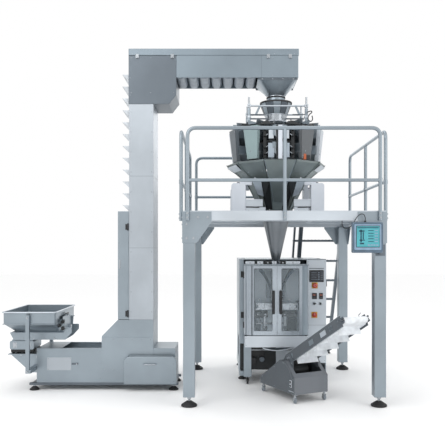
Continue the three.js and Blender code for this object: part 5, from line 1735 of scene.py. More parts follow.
def add_infeed_funnel():
    high = box_of("infeed_funnel")[1]
    rim, waist, mouth = 3.330, 3.180, 3.100
    cross_z, tie_z = 3.245, 3.147
    waist_radius, rim_radius = 0.130, 0.185
    funnel = Piece("infeed_chute")
    funnel.turned(
        [(0.124, mouth), (0.130, waist), (0.126, waist), (0.120, mouth)], (0, 0, 0), "polished", sides=56,
    )
    funnel.turned(
        [(0.130, waist - 0.004), (0.135, waist - 0.002), (0.135, waist + 0.004), (0.130, waist + 0.006)],
        (0, 0, 0), "bright", sides=56,
    )
    funnel.turned(band(0.124, 0.128, mouth, mouth + 0.010), (0, 0, 0), "white_paint", sides=56)
    panels = 12
    for i in range(panels):
        funnel.matrix = at_angle(2 * math.pi * i / panels)
        half_low = waist_radius * math.tan(math.pi / panels) - 0.0015
        half_high = rim_radius * math.tan(math.pi / panels) - 0.0015
        plate = [
            (waist_radius, -half_low, waist), (waist_radius, half_low, waist), (0.183, half_high, rim),
            (0.183, -half_high, rim),
        ]
        funnel.sheet(plate, (-0.004, 0, 0), "steel" if i % 2 else "dark")
        funnel.matrix = at_angle(2 * math.pi * (i + 0.5) / panels)
        funnel.tube([(0.1345, 0, waist + 0.004), (0.190, 0, rim - 0.004)], 0.003, "hollow_dark", sides=8)
    funnel.matrix = AT_AXIS
    funnel.turned(band(0.176, 0.190, rim - 0.016, rim + 0.002), (0, 0, 0), "black", sides=56)
    post_x, post_y = high.x - 0.020, high.y - 0.020
    post_foot = BODY_TOP + 0.0005
    for side_x in (-1, 1):
        x = side_x * post_x
        for side_y in (-1, 1):
            y = side_y * post_y
            funnel.bar("z", (x, y), post_foot, high.z, 0.011, "polished")
            funnel.bar("z", (x, y), post_foot, 3.215, 0.0185, "steel")
            funnel.bar("z", (x, y), tie_z - 0.040, tie_z - 0.016, 0.023, "bright")
            funnel.block(
                (x - 0.020, y - 0.020, cross_z - 0.018), (x + 0.020, y + 0.020, cross_z + 0.018), "bright",
            )
            funnel.bolt((x, y - 0.020, cross_z), TO_FRONT, LARGE_HEAD)
            funnel.bar("z", (x, y), post_foot, BODY_TOP + 0.010, 0.030, "bright")
        funnel.bar("y", (x, tie_z), -post_y, post_y, 0.009, "polished")
        inner, outer = sorted((x, side_x * 0.128))
        funnel.block((inner, -0.006, tie_z - 0.008), (outer, 0.006, tie_z + 0.008), "dark")
        brace = [
            (side_x * 0.235, tie_z), (side_x * 0.262, tie_z), (side_x * 0.215, cross_z),
            (side_x * 0.190, cross_z),
        ]
        funnel.prism(brace, "y", -post_y - 0.010, -post_y + 0.002, "steel")
        funnel.bar("x", (-post_y + 0.004, tie_z), side_x * 0.17, x, 0.006, "dark")
    for y in (-post_y, post_y):
        funnel.bar("x", (y, cross_z), -post_x - 0.020, post_x + 0.020, 0.010, "bright")
    hook = [
        (0.330, -0.300, 3.160), (0.372, -0.305, 3.172), (0.380, -0.305, 3.155), (0.352, -0.305, 3.130),
        (0.338, -0.300, 3.095), (0.348, -0.300, 3.062), (0.372, -0.300, 3.055), (0.390, -0.300, 3.080),
        (0.384, -0.300, 3.120),
    ]
    funnel.tube(smooth_route([Vector(point) for point in hook], 4), 0.006, "black", sides=10)
    funnel.rod((0.330, -0.300, 3.160), (post_x, -post_y, 3.160), 0.005, "polished", sides=10)
    funnel.done("root", ["infeed_funnel"], bevel=0.0006)


# --------------------------------------------------------------------------------------------
# Form fill sealer
# --------------------------------------------------------------------------------------------

DOOR_FRONT = -0.2315
DOOR_BEND = 0.078
WINDOW_BOTTOM, WINDOW_TOP = 0.672, 1.382


def add_guard_door(side):
    """A guard door: its outer edge bent round, a clear window in a rubber seal, a bar handle, two hinges."""
    node = "guard_door_left" if side < 0 else "guard_door_right"
    guard_low, guard_high = box_of("guard_door_left"), box_of("guard_door_right")
    hinge_x = guard_low[0].x + 0.014 if side < 0 else guard_high[1].x - 0.014
    split = guard_low[1].x if side < 0 else guard_high[0].x
    bottom, top = guard_low[0].z, guard_low[1].z
    front, back = DOOR_FRONT, DOOR_FRONT + 0.004
    hinge_y = -0.056
    bend_x = hinge_x - side * DOOR_BEND
    window = (-0.268, -0.062) if side < 0 else (0.048, 0.246)
    door = Piece(node + "_panel")

    def strip(x0, x1, z0, z1):
        door.block((min(x0, x1), front, z0), (max(x0, x1), back, z1), "door_steel")

    strip(bend_x, window[0] if side < 0 else window[1], bottom, top)
    strip(window[1] if side < 0 else window[0], split, bottom, top)
    strip(window[0], window[1], bottom, WINDOW_BOTTOM)
    strip(window[0], window[1], WINDOW_TOP, top)
    steps = 12
    outer, inner = [], []
    for i in range(steps + 1):
        t = math.pi / 2 * i / steps
        for ring, radius in ((outer, DOOR_BEND), (inner, DOOR_BEND - 0.004)):
            ring.append((bend_x + side * radius * math.sin(t), front + DOOR_BEND - radius * math.cos(t)))
    outer.append((hinge_x, hinge_y))
    inner.append((hinge_x - side * 0.004, hinge_y))
    # The right door's bent edge takes the darker casing finish: painted shade along the bend. The left door's
    # bend keeps door steel.
    door.prism(outer + inner[::-1], "z", bottom, top, "door_steel" if side < 0 else "casing")
    for z0, z1 in ((bottom, bottom + 0.012), (top - 0.012, top)):
        door.block(
            (min(bend_x, split), front + 0.003, z0), (max(bend_x, split), front + 0.016, z1), "door_steel",
        )
    hem_x = sorted((split, split + side * 0.014))
    door.block((hem_x[0], front - 0.0015, bottom), (hem_x[1], front + 0.014, top), "door_steel")
    add_window(door, window, front)
    add_bar_handle(door, -0.050 if side < 0 else 0.034, front)
    for z in (0.720, 1.300):
        x0, x1 = sorted((hinge_x - side * 0.002, hinge_x + side * 0.012))
        door.block((x0, hinge_y - 0.024, z - 0.034), (x1, hinge_y - 0.001, z + 0.034), "black")
        door.bar("z", (hinge_x + side * 0.006, hinge_y - 0.002), z - 0.036, z + 0.036, 0.007, "black")
    door.done("door_left" if side < 0 else "door_right", [node])


def add_window(door, window, front):
    x0, x1 = window
    door.block((x0, front + 0.001, WINDOW_BOTTOM), (x1, front + 0.003, WINDOW_TOP), "pane")
    radius = 0.014
    corners = [(x1, WINDOW_BOTTOM), (x1, WINDOW_TOP), (x0, WINDOW_TOP), (x0, WINDOW_BOTTOM)]
    middle = [((x0 + x1) / 2, WINDOW_BOTTOM)]
    loop = [Vector((x, front - 0.0005, z)) for x, z in middle + corners + middle]
    door.tube(bent(loop, radius), 0.0042, "seal_grey", sides=10)
    door.screws(
        ((x0 + 0.012, x1 - 0.012), (front + 0.001,), (WINDOW_BOTTOM + 0.012, WINDOW_TOP - 0.012)), TO_FRONT,
        TINY_HEAD,
    )


def add_bar_handle(door, x, front):
    reach, half_height, middle = 0.042, 0.135, 1.000
    for z in (middle - 0.115, middle + 0.115):
        door.bar("y", (x, z), front + 0.001, front - reach, 0.009, "black")
        door.bar("y", (x, z), front - 0.0005, front - 0.006, 0.014, "black")
    flat = AT_AXIS @ Matrix.Translation((x, front - reach, middle)) @ Matrix.Diagonal((1.25, 1, 1, 1))
    door.matrix = flat
    profile = [
        (0, -half_height), (0.008, -half_height + 0.001), (0.0125, -half_height + 0.006),
        (0.013, -half_height + 0.014), (0.013, half_height - 0.014), (0.0125, half_height - 0.006),
        (0.008, half_height - 0.001), (0, half_height),
    ]
    door.turned(profile, (0, 0, 0), "black", sides=32)
    door.matrix = AT_AXIS


def blacken_feet(node, below, finish="rubber"):
    """The feet and castors of a kept node, below a height, take another finish."""
    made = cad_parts[node]
    made.data.materials.append(MATERIALS[finish])
    index = len(made.data.materials) - 1
    world = made.matrix_world
    for polygon in made.data.polygons:
        if (world @ polygon.center).z < below:
            polygon.material_index = index


def add_cabinet_details():
    """What is fixed to the sealer's cabinet: stile hinges, the head bar over the doors, vents, seams."""
    left, top = -0.430, box_of("machine_frame")[1].z
    details = Piece("cabinet_details")
    apron_y, plate_y = -0.2320, 0.1005
    louvre_pitch = 0.020
    face = 0.070
    for z in (1.305, 0.822):
        details.block((left + 0.018, face - 0.012, z - 0.036), (left + 0.046, face, z + 0.036), "black")
        details.bar("z", (left + 0.046, face - 0.008), z - 0.036, z + 0.036, 0.008, "black")
    bar_z = 1.4335
    for x0, x1, finish in (
        (-0.366, -0.262, "bright"), (-0.232, -0.164, "bright"), (-0.150, -0.070, "hollow_dark"),
        (-0.060, -0.010, "bright"), (0.036, 0.092, "hollow_dark"), (0.098, 0.262, "bright"),
    ):
        details.block((x0, -0.205, bar_z - 0.001), (x1, -0.155, bar_z + 0.034), finish)
        details.bolt(((x0 + x1) / 2, -0.205, bar_z + 0.017), TO_FRONT, LARGE_HEAD)
    details.block((-0.376, -0.2285, 1.4185), (0.358, -0.222, 1.4325), "black")
    details.block((-0.374, apron_y, 0.482), (0.356, -0.2300, 0.612), "bright")
    details.screws(((-0.362, 0.344), (apron_y,), (0.505, 0.590)), TO_FRONT, MEDIUM_HEAD)
    # The inner plate behind the jaws, coloured light: painted light over the shade inside the cabinet.
    details.block((left + 0.010, plate_y, 0.62), (0.350, 0.104, 1.418), "inner_plate_painted_light")
    details.bolts(((-0.36, -0.19, 0.17, 0.33), (plate_y,), (0.66, 1.00, 1.39)), TO_FRONT, FRAME_HEAD)
    side_x = 0.610
    y0, y1 = 0.115, 0.745
    for z in (0.20, 1.40):
        details.block((side_x - 0.001, y0, z), (side_x + 0.0012, y1, z + 0.003), "dark")
    for y in (y0, y1):
        details.block((side_x - 0.001, y, 0.20), (side_x + 0.0012, y + 0.003, 1.403), "dark")
    for z in (0.40, 1.20):
        details.block((side_x, y0 - 0.004, z - 0.04), (side_x + 0.012, y0 + 0.026, z + 0.04), "black")
    details.block((side_x, y1 - 0.07, 0.78), (side_x + 0.010, y1 - 0.03, 0.90), "black")
    for k in range(12):
        z = 0.30 + k * louvre_pitch
        turned = Matrix.Translation((side_x + 0.002, (y0 + y1) / 2, z)) @ Matrix.Rotation(0.5, 4, "Y")
        details.block((-0.001, -0.16, -0.007), (0.001, 0.16, 0.007), "steel", turned=turned)
    for k in range(12):
        z = 0.30 + k * louvre_pitch
        turned = Matrix.Translation((left - 0.002, 0.43, z)) @ Matrix.Rotation(-0.5, 4, "Y")
        details.block((-0.001, -0.16, -0.007), (0.001, 0.16, 0.007), "steel", turned=turned)
    details.screws(((left,), (0.16, 0.70), (0.20, 0.80, 1.42)), (-1, 0, 0), MEDIUM_HEAD)
    for x in (left + 0.05, side_x - 0.05):
        details.turned(band(0.012, 0.026, 0, 0.006), (x, 0.4, top - 0.0005), "polished")
    details.done("root", bevel=0.0008)
    blacken_feet("machine_frame", 0.085)


def add_lower_machinery():
    """Under the doors: the curved bag chute, the gear box in the dark space behind, and cylinders."""
    parts = Piece("lower_machinery")
    chute = []
    for i in range(13):
        t = i / 12
        x = -0.170 + 0.330 * t
        sag = 0.030 * (1 - (2 * t - 1) ** 2)
        chute.append((x, 0.478 - sag))
    thick = [(x, z - 0.012) for x, z in reversed(chute)]
    parts.prism(chute + thick, "y", -0.215, -0.060, "bright")
    parts.block((-0.345, 0.120, 0.215), (-0.060, 0.300, 0.430), "hollow_dark")
    parts.block((-0.285, 0.090, 0.330), (-0.130, 0.140, 0.455), "black")
    parts.bar("y", (-0.27, 0.27), 0.125, 0.06, 0.045, "black")
    parts.bar("y", (-0.16, 0.29), 0.125, 0.07, 0.030, "dark")
    parts.bar("x", (0.10, 0.40), -0.34, 0.32, 0.012, "polished")
    parts.block((-0.425, 0.110, 0.160), (0.355, 0.118, 0.480), "hollow_dark")
    parts.block((0.010, 0.105, 0.200), (0.330, 0.118, 0.470), "bright")
    parts.done("root", bevel=0.002)


def add_jaw_machinery():
    """The dark carriage and cylinders below the sealing jaws."""
    parts = Piece("jaw_carriage")
    cylinder_y = -0.030
    jaw_z = 0.935
    for x0, x1 in ((-0.245, -0.095), (0.075, 0.250)):
        parts.block((x0, -0.010, 0.800), (x1, 0.085, 0.872), "hollow_dark")
        for x in (x0 + 0.03, x1 - 0.03):
            parts.bolt((x, -0.010, 0.836), TO_FRONT, GUSSET_HEAD)
    for x in (-0.135, 0.105):
        parts.bar("z", (x, cylinder_y), 0.700, 0.815, 0.021, "bright")
        parts.bar("z", (x, cylinder_y), 0.665, 0.702, 0.027, "polished", sides=6)
        parts.bar("z", (x, cylinder_y), 0.630, 0.668, 0.010, "polished")
    parts.block((0.130, -0.005, 0.640), (0.250, 0.080, 0.790), "hollow_dark")
    parts.block((-0.245, 0.020, 0.640), (-0.180, 0.085, 0.790), "dark")
    parts.bar("x", (0.03, 0.725), -0.235, 0.245, 0.012, "polished")
    for x in (-0.262, 0.266):
        parts.bar("y", (x, jaw_z), -0.100, 0.098, 0.010, "polished")
        parts.block((x - 0.020, 0.088, 0.880), (x + 0.020, 0.100, 0.990), "dark")
    parts.tube(
        bent([(-0.11, -0.04, 0.70), (-0.11, -0.09, 0.66), (-0.22, -0.09, 0.64), (-0.30, 0.05, 0.66)], 0.03),
        0.005, "black", sides=10,
    )
    parts.done("root", bevel=0.002)
    for name, body, face, out in (
        ("front_jaw_fittings", "jaw_front", -0.078, -1), ("rear_jaw_fittings", "jaw_rear", 0.078, 1),
    ):
        fittings = Piece(name)
        low, high = box_of("sealing_jaw_front")
        for x in (low.x + 0.03, low.x + 0.09, high.x - 0.09, high.x - 0.03):
            fittings.bolts(((x,), (face,), (jaw_z + 0.020, jaw_z - 0.020)), (0, out, 0), FRAME_HEAD)
        for x in (low.x + 0.012, high.x - 0.012):
            fittings.bar("y", (x, jaw_z), face, face + out * 0.012, 0.016, "dark")
        fittings.done(body)


def add_forming_tube():
    low, high = box_of("forming_tube")
    top, bottom, radius = high.z, low.z, 0.060
    tube = Piece("forming_set")
    wall = 0.003
    profile = [
        (radius, bottom), (radius, top - 0.060), (radius + 0.008, top), (radius + 0.005, top),
        (radius - wall, top - 0.062), (radius - wall, bottom),
    ]
    tube.turned(profile, (0, 0, 0), "polished", sides=56)
    tube.turned(
        [
            (radius + 0.007, top - 0.003), (radius + 0.012, top - 0.002), (radius + 0.012, top),
            (radius + 0.006, top),
        ], (0, 0, 0), "polished",
    )
    steps = 14
    for side in (-1, 1):
        outer = []
        for i in range(steps + 1):
            t = i / steps
            x = side * (0.205 - 0.140 * t)
            z = 1.396 - 0.205 * t ** 1.5 - 0.02 * t
            front_y = -0.095 + 0.035 * t
            back_y = 0.058 - 0.045 * t
            outer.append(
                [
                    Vector((x, front_y, z)), Vector((x, (front_y + back_y) / 2, z + 0.012)),
                    Vector((x, back_y, z)),
                ]
            )
        for k in range(2):
            for i in range(steps):
                quad = [outer[i][k], outer[i][k + 1], outer[i + 1][k + 1], outer[i + 1][k]]
                tube.sheet(quad, (0, 0, -wall), "collar")
        edge = [ring[0] + Vector((0, -0.001, 0)) for ring in outer]
        tube.tube(edge, 0.006, "collar", sides=10)
        band = [point - Vector((0, 0, 0.052)) for point in edge]
        for i in range(steps):
            quad = [edge[i], edge[i + 1], band[i + 1], band[i]]
            tube.sheet(quad, (0, wall, 0), "collar")
    half = 0.205  # of the forming collar, and of the beam behind it
    tube.block((-half, 0.062, 1.386), (half, 0.098, 1.398), "steel")
    tube.block((-0.190, 0.050, 1.376), (0.190, 0.066, 1.392), "steel")
    for x in (-0.17, 0.17):
        tube.bar("z", (x, 0.080), 1.398, 1.412, 0.016, "black")
    tube.done("root", ["forming_tube"])


def add_film_in_machine():
    """The film, closed to a tube round the forming tube and ending just above the jaws."""
    film = Piece("film_web")
    rings = []
    for z, half_x, half_y in ((1.190, 0.0615, 0.0615), (1.010, 0.0618, 0.0618), (0.994, 0.066, 0.056)):
        ring = []
        for i in range(40):
            t = 2 * math.pi * i / 40
            ring.append(Vector((half_x * math.cos(t), half_y * math.sin(t), z)))
        rings.append(ring)
    shrunk = [[Vector((point.x * 0.985, point.y * 0.97, point.z)) for point in ring] for ring in rings[::-1]]
    film.loft(rings + shrunk, "film", loop=True)
    film.done("root")


def add_film_roll():
    low, high = box_of("film_roll")
    middle = (low + high) / 2
    y, z, centre_x = middle.y, middle.z, 0.090
    radius = (high.y - low.y) / 2
    half, bore = 0.220, 0.055
    roll = Piece("film_reel")
    profile = [
        (bore, -half), (radius - 0.002, -half), (radius, 0.002 - half), (radius, half - 0.002),
        (radius - 0.002, half), (bore, half),
    ]
    roll.turned(profile, (centre_x, y, z), "film", axis=RIGHT, sides=96)
    roll.turned(
        band(bore - 0.015, bore, -half - 0.004, half + 0.004), (centre_x, y, z), "core_board", axis=RIGHT,
    )
    for side in (-1, 1):
        cone = [
            (0.020, side * 0.219), (0.046, side * 0.219), (0.046, side * 0.232), (0.030, side * 0.245),
            (0.020, side * 0.245),
        ]
        roll.turned(cone, (centre_x, y, z), "dark", axis=RIGHT)
        add_clamp_screw(roll, (centre_x + side * 0.238, y - 0.034, z))
    roll.bar("x", (y, z), low.x, high.x, 0.020, "polished")
    for k in range(6):
        ring = 0.07 + k * 0.018
        for side in (-0.2203, 0.2203):
            roll.turned(
                band(ring, ring + 0.0012, -0.0004, 0.0004), (centre_x + side, y, z), "core_board",
                axis=RIGHT, sides=64,
            )
    roll.done("film", ["film_roll"])


def add_clamp_screw(piece, place):
    x, y, z = place
    piece.bar("y", (x, z), y + 0.02, y - 0.012, 0.005, "polished", sides=12)
    piece.bar("x", (y - 0.014, z), x - 0.016, x + 0.016, 0.004, "polished", sides=10)


def add_control_face():
    face = 0.060
    selector_z = 0.958
    mark_z = 1.028  # of the controllers' row of keys
    controls = Piece("controls")
    controls.block((0.402, face - 0.003, 1.372), (0.577, face + 0.001, 1.380), "dark")
    round_box(controls, (0.404, face - 0.006, 1.214), (0.575, face + 0.001, 1.356), 0.006, "black")
    round_box(controls, (0.410, face - 0.012, 1.220), (0.569, face - 0.004, 1.350), 0.005, "screen_frame")
    controls.block((0.418, face - 0.0125, 1.228), (0.530, face - 0.0115, 1.342), "dark_screen")
    for row in range(4):
        z = 1.245 + row * 0.026
        controls.block(
            (0.424, face - 0.0128, z), (0.500 - 0.012 * (row % 2), face - 0.0120, z + 0.004), "screen_text",
        )
        controls.block((0.508, face - 0.0128, z - 0.003), (0.524, face - 0.0120, z + 0.010), "screen_text")
    for row in range(5):
        z = 1.240 + row * 0.022
        for x in (0.538, 0.553):
            controls.block((x, face - 0.014, z), (x + 0.010, face - 0.0115, z + 0.012), "seal_grey")
    round_box(controls, (0.432, face - 0.003, 1.138), (0.504, face + 0.001, 1.210), 0.004, "yellow")
    for x0, x1 in ((0.435, 0.493), (0.519, 0.565)):
        round_box(controls, (x0, face - 0.010, 1.012), (x1, face + 0.001, 1.084), 0.004, "black")
        controls.block((x0 + 0.006, face - 0.0108, 1.046), (x1 - 0.006, face - 0.0095, 1.076), "dark_screen")
        for row, z in ((0, 1.064), (1, 1.051)):
            for k in range(3):
                x = x0 + 0.010 + k * 0.011
                controls.block((x, face - 0.0112, z), (x + 0.007, face - 0.0105, z + 0.008), "digit")
        for k in range(4):
            x = x0 + 0.008 + k * (x1 - x0 - 0.020) / 3
            controls.bar(
                "y", (x + 0.002, mark_z), face - 0.0095, face - 0.0125, 0.0035, "seal_grey", sides=10,
            )
    for x, finish in ((0.464, "black"), (0.535, "bright")):
        controls.turned(
            [(0, 0), (0.019, 0), (0.019, 0.004), (0.0165, 0.006), (0, 0.006)], (x, face, selector_z),
            "polished", axis=TO_FRONT,
        )
        controls.turned(
            [(0, 0.005), (0.0155, 0.005), (0.0150, 0.019), (0.013, 0.021), (0, 0.021)],
            (x, face, selector_z), finish, axis=TO_FRONT,
        )
    controls.block(
        (0.446, face - 0.029, selector_z - 0.005), (0.482, face - 0.018, selector_z + 0.005), "black",
    )
    round_box(controls, (0.428, face - 0.003, 0.787), (0.500, face + 0.001, 0.859), 0.005, "yellow")
    controls.screws(((0.392, 0.586), (face,), (0.28, 0.66, 1.05, 1.455)), TO_FRONT, SMALL_HEAD)
    controls.block((0.380, face - 0.0012, 0.700), (0.600, face + 0.001, 0.7025), "dark")
    controls.block((0.384, face - 0.001, 0.705), (0.3865, face + 0.001, 1.470), "dark")
    for k in range(8):
        z = 0.33 + k * 0.018
        turned = Matrix.Translation((0.49, face - 0.001, z)) @ Matrix.Rotation(0.5, 4, "X")
        controls.block((-0.06, -0.001, -0.006), (0.06, 0.001, 0.006), "bright", turned=turned)
    controls.done("root", bevel=0.0006)


def add_estop():
    low, high = box_of("estop_button")
    x, z = (low.x + high.x) / 2, (low.z + high.z) / 2
    button = Piece("emergency_stop")
    cap = [
        (0, -0.023), (0.014, -0.0215), (0.026, -0.017), (0.0305, -0.010), (0.0305, -0.004), (0.028, 0.0),
        (0.0135, 0.002), (0.0135, 0.012), (0, 0.012),
    ]
    button.turned(cap, (x, low.y + 0.0235, z), "red", axis=TO_REAR, sides=64)
    for angle in (30, 150, 270):
        t = math.radians(angle)
        a = Vector((x + 0.014 * math.cos(t - 0.5), low.y + 0.0018, z + 0.014 * math.sin(t - 0.5)))
        b = Vector((x + 0.014 * math.cos(t + 0.5), low.y + 0.0018, z + 0.014 * math.sin(t + 0.5)))
        button.rod(a, b, 0.0016, "white_paint", sides=8)
    button.done("estop", ["estop_button"])


def add_main_switch():
    low, high = box_of("main_switch")
    x, z = (low.x + high.x) / 2, (low.z + high.z) / 2
    switch = Piece("rotary_switch")
    switch.turned(
        [(0, 0), (0.029, 0), (0.030, 0.001), (0.029, 0.011), (0.026, 0.0125), (0, 0.0125)], (x, high.y, z),
        "red", axis=TO_FRONT, sides=56,
    )
    tip = [
        (x - 0.009, z - 0.026), (x + 0.009, z - 0.026), (x + 0.008, z + 0.022), (x + 0.003, z + 0.028),
        (x - 0.003, z + 0.028), (x - 0.008, z + 0.022),
    ]
    switch.prism(tip, "y", low.y, high.y - 0.010, "red")
    switch.block(
        (x - 0.0015, low.y - 0.0004, z + 0.004), (x + 0.0015, low.y + 0.001, z + 0.024), "white_paint",
    )
    switch.done("isolator", ["main_switch"], bevel=0.001)


# --------------------------------------------------------------------------------------------
# Take-off conveyor
# --------------------------------------------------------------------------------------------

CONVEYOR = Matrix.Translation(on_line(0.144, -0.510, 0)) @ Matrix.Rotation(math.radians(-63.2), 4, "Z")
CLIMB = math.radians(28.6)
BELT_FOOT = Vector((0.160, 0, 0.448))
BELT_LENGTH = 1.022
SIDE_PLATE_HALF = 0.058
SIDE_PLATE_INNER, SIDE_PLATE_OUTER = 0.1465, 0.1535
BELT_RADIUS = 0.027
BELT_HALF = 0.138
ALONG_BELT = CONVEYOR @ Matrix.Translation(BELT_FOOT) @ Matrix.Rotation(-CLIMB, 4, "Y")


def add_conveyor_belt():
    belt = Piece("flighted_belt", ALONG_BELT)
    outline = []
    for middle, start in ((BELT_LENGTH, -90), (0, 90)):
        for i in range(17):
            t = math.radians(start + 180 * i / 16)
            outline.append((middle, math.cos(t), math.sin(t)))
    outer, inner = BELT_RADIUS + 0.0035, BELT_RADIUS + 0.0004
    ring_out = [(m + outer * c, outer * s) for m, c, s in outline]
    ring_in = [(m + inner * c, inner * s) for m, c, s in outline]
    edges = ((ring_out, -BELT_HALF), (ring_out, BELT_HALF), (ring_in, BELT_HALF), (ring_in, -BELT_HALF))
    belt.loft([[Vector((x, y, z)) for x, z in ring] for ring, y in edges], "belt", loop=True)
    pitch = 0.200
    carry_tip, return_tip = 0.063, -0.100
    for i in range(5):
        u = pitch * (i + 0.5)
        for side, tip in ((1, carry_tip), (-1, return_tip)):
            foot = side * (outer - 0.001)
            heel = foot + side * 0.008
            flight = [
                (u - 0.009, foot), (u + 0.009, foot), (u + 0.003, heel), (u + 0.0022, tip),
                (u - 0.0022, tip), (u - 0.003, heel),
            ]
            belt.prism(flight, "y", -BELT_HALF + 0.008, BELT_HALF - 0.008, "belt")
    for side in (-1, 1):
        for face in (-1, 1):
            y = side * (BELT_HALF - 0.004)
            wave = []
            for k, u in enumerate(spaced(0.02, BELT_LENGTH - 0.02, 49)):
                wave.append((u, y + 0.003 * math.sin(k * math.pi / 2), face * (outer + 0.012)))
            for a, b in zip(wave, wave[1:]):
                quad = [
                    Vector(a), Vector(b), Vector((b[0], b[1], face * outer)),
                    Vector((a[0], a[1], face * outer)),
                ]
                belt.sheet(quad, (0, 0.0016, 0), "belt")
    belt.done("root", ["conveyor_belt"])


def add_conveyor_frame():
    plates = Piece("belt_side_plates", ALONG_BELT)
    for side in (-1, 1):
        y0, y1 = sorted((side * SIDE_PLATE_INNER, side * SIDE_PLATE_OUTER))
        length = BELT_LENGTH
        windows = [
            (0.02, 0.08, "steel"), (0.420, 0.500, "steel"), (0.640, 0.740, "bright"),
            (0.800, 0.860, "dark"),
        ]
        plates.block((-0.046, y0, -SIDE_PLATE_HALF), (length - 0.010, y1, SIDE_PLATE_HALF), "conveyor_side")
        for z in (-SIDE_PLATE_HALF, SIDE_PLATE_HALF - 0.0035):
            plates.block(
                (-0.046, y0 - 0.001 if side < 0 else y0, z),
                (length - 0.010, y1 if side < 0 else y1 + 0.001, z + 0.0035), "bright",
            )
        out = y0 if side < 0 else y1
        for u0, u1, finish in windows:
            a, b = sorted((out, out + side * 0.0022))
            plates.block((u0, a, -0.024), (u1, b, 0.026), finish)
            plates.screws(
                ((u0 + 0.010, u1 - 0.010), (out + side * 0.002,), (-0.016, 0.018)), (0, side, 0), FINE_HEAD,
            )
        plates.block((length - 0.085, y0 - 0.0015, -0.030), (length + 0.034, y1 + 0.0015, -0.0125), "dark")
        plates.block((length - 0.085, y0 - 0.0015, 0.0125), (length + 0.034, y1 + 0.0015, 0.030), "dark")
        plates.bolt((length - 0.060, out + side * 0.0015, 0.021), (0, side, 0), MEDIUM_HEAD)
        plates.bar("x", (side * 0.150, 0), length + 0.036, length - 0.030, 0.004, "polished", sides=12)
        plates.bar("y", (0, 0), side * 0.154, side * 0.163, 0.020, "black", sides=28)
    for u in (0.080, 0.330, 0.580, 0.830):
        plates.bar("y", (u, 0), -0.148, 0.148, 0.009, "polished")
    plates.bar("y", (0, 0), -0.137, 0.137, BELT_RADIUS - 0.0008, "rubber", sides=40)
    plates.bar("y", (0, 0), -0.148, 0.148, 0.010, "polished")
    lever = [(0.900, 0.156, 0.03), (0.900, 0.168, 0.04), (0.905, 0.168, 0.092), (0.945, 0.168, 0.098)]
    plates.tube(bent(lever, 0.008), 0.004, "polished", sides=10)
    plates.done("root", ["conveyor_frame"], bevel=0.001)


def add_head_roller():
    roller = Piece("belt_head_roller", ALONG_BELT)
    half = 0.137
    profile = [
        (0.010, -half), (0.024, -half), (0.0262, -half + 0.004), (0.0262, half - 0.004), (0.024, half),
        (0.010, half),
    ]
    roller.turned(profile, (BELT_LENGTH, 0, 0), "rubber", axis=TO_REAR, sides=48)
    roller.bar("y", (BELT_LENGTH, 0), -0.165, 0.165, 0.0098, "polished")
    for side in (-1, 1):
        roller.bar("y", (BELT_LENGTH, 0), side * 0.155, side * 0.165, 0.015, "polished", sides=6)
    roller.done("head_roller", ["conveyor_head_roller"])


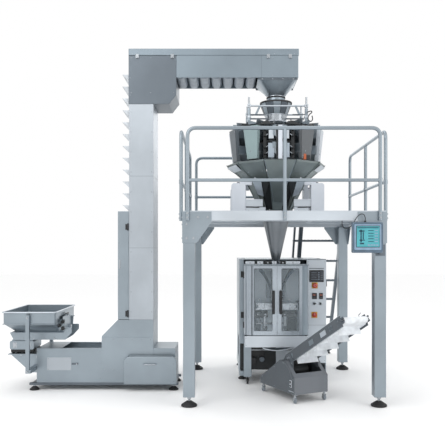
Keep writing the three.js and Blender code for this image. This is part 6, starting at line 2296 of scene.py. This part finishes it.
def add_conveyor_base():
    base = Piece("conveyor_body", CONVEYOR)
    half, end, floor = 0.210, 0.350, 0.095
    wall = 0.004
    low_top, high_top = 0.167, 0.272  # of the two end walls
    peak, ridge = (0.165, 0.425), (0.060, 0.415)
    outline = [(-end, floor), (end, floor), (end, high_top), peak, ridge, (-end, low_top)]
    for side in (-1, 1):
        y0, y1 = sorted((side * half, side * (half - wall)))
        base.prism(outline, "y", y0, y1, "conveyor_side")
    base.block((-end, -half, floor), (end, half, floor + wall), "conveyor_side")
    base.block((end - wall, -half, floor), (end, half, high_top), "conveyor_end")
    base.block((-end, -half, floor), (wall - end, half, low_top), "conveyor_end")

    def slope(x0, z0, x1, z1, y0, y1, finish):
        quad = [Vector((x0, y0, z0)), Vector((x1, y0, z1)), Vector((x1, y1, z1)), Vector((x0, y1, z0))]
        lean = Vector((z1 - z0, 0, x0 - x1)).normalized() * wall
        if lean.z > 0:
            lean = -lean
        base.sheet(quad, lean, finish)

    slope(-end, low_top, *ridge, -half, half, "conveyor_side")

    def on_end(t):
        return end + (peak[0] - end) * t, high_top + (peak[1] - high_top) * t

    for t0, t1, y0, y1 in ((0, 0.24, -half, half), (0.24, 1, -half, -0.165), (0.24, 1, 0.165, half)):
        slope(*on_end(t0), *on_end(t1), y0, y1, "conveyor_end")
    for side in (-1, 1):
        cheek = [
            (0.070, 0.380), (0.250, 0.330), (0.250, 0.440), (0.190, 0.500), (0.110, 0.480), (0.070, 0.416),
        ]
        y0, y1 = sorted((side * 0.1548, side * 0.164))
        base.prism(cheek, "y", y0, y1, "conveyor_side")
        base.bolt((0.160, side * 0.164, 0.448), (0, side, 0), PIVOT_HEAD)
        base.bolt((0.220, side * 0.164, 0.400), (0, side, 0), GUSSET_HEAD)
        y = side * half
        arc = [
            (0.10 + 0.20 * math.cos(t), y + side * 0.001, 0.205 + 0.20 * math.sin(t))
            for t in (math.radians(-25 + 5.5 * k) for k in range(21))
        ]
        base.tube(arc, 0.0028, "conveyor_end", sides=8)
        for x, z in (
            (-0.320, 0.120), (-0.05, 0.120), (0.320, 0.120), (0.320, 0.250), (0.130, 0.395),
            (-0.300, 0.178), (-0.05, 0.325),
        ):
            base.screw((x, y, z), (0, side, 0), MEDIUM_HEAD)
    base.block((0.12, -0.13, 0.115), (0.30, 0.13, 0.25), "black")
    base.bar("y", (0.10, 0.30), -0.09, 0.10, 0.055, "hollow_dark", sides=36)
    base.block((0.060, -0.175, 0.250), (0.085, 0.175, 0.410), "black")
    switch_y = -half
    for z in (0.165, 0.205):
        base.block((0.262, switch_y - 0.007, z), (0.300, switch_y + 0.001, z + 0.032), "white_paint")
        base.block((0.268, switch_y - 0.010, z + 0.006), (0.294, switch_y - 0.006, z + 0.026), "black")
    base.block((0.240, switch_y - 0.002, 0.118), (0.330, switch_y + 0.001, 0.126), "bright")
    base.done("root", ["conveyor_base"], bevel=0.0012)
    add_conveyor_castors()


def add_conveyor_castors():
    castors = Piece("conveyor_castors", CONVEYOR)
    tyre = [
        (0.010, -0.011), (0.026, -0.011), (0.0295, -0.007), (0.030, 0), (0.0295, 0.007), (0.026, 0.011),
        (0.010, 0.011),
    ]
    axle_z = 0.030
    for x in (-0.320, 0.320):
        for y in (-0.185, 0.185):
            castors.turned(tyre, (x, y, axle_z), "castor_grey", axis=TO_REAR, sides=40)
            castors.bar("y", (x, axle_z), y - 0.019, y + 0.019, 0.006, "polished")
            for side in (-1, 1):
                fork = [(x - 0.010, 0.022), (x + 0.010, 0.022), (x + 0.016, 0.062), (x - 0.016, 0.062)]
                y0, y1 = sorted((y + side * 0.0135, y + side * 0.0165))
                castors.prism(fork, "y", y0, y1, "polished")
            castors.block((x - 0.016, y - 0.0165, 0.060), (x + 0.016, y + 0.0165, 0.064), "polished")
            castors.bar("z", (x, y), 0.063, 0.078, 0.014, "polished")
            castors.bar("z", (x, y), 0.076, 0.096, 0.008, "polished")
            castors.block((x - 0.028, y - 0.022, 0.090), (x + 0.028, y + 0.022, 0.0945), "polished")
    castors.done("root", bevel=0.0006)


add_camera()
add_studio()
add_floor()
add_panel_cable()
add_operator_panel()
add_kept_nodes()
add_levelling_feet()
add_guard_rails()
add_ladder()
add_platform_bolts()
add_buckets()
add_casing_details()
add_boot_details()
add_riser_cover_fittings()
add_elevator_skid()
add_discharge_hopper()
add_gear_motor()
add_catch_box_rim()
add_feed_hopper()
add_feed_gate_fittings()
add_feeder_pan()
add_feeder_drive()
add_feeder_stand_caps()
add_discharge_bowl()
add_discharge_cone()
add_weigher_base()
add_weigher_body()
add_hopper_ring()
add_dispersion_cone()
add_infeed_funnel()
add_guard_door(-1)
add_guard_door(1)
add_cabinet_details()
add_lower_machinery()
add_jaw_machinery()
add_forming_tube()
add_film_in_machine()
add_film_roll()
add_control_face()
add_estop()
add_main_switch()
add_conveyor_belt()
add_conveyor_frame()
add_head_roller()
add_conveyor_base()
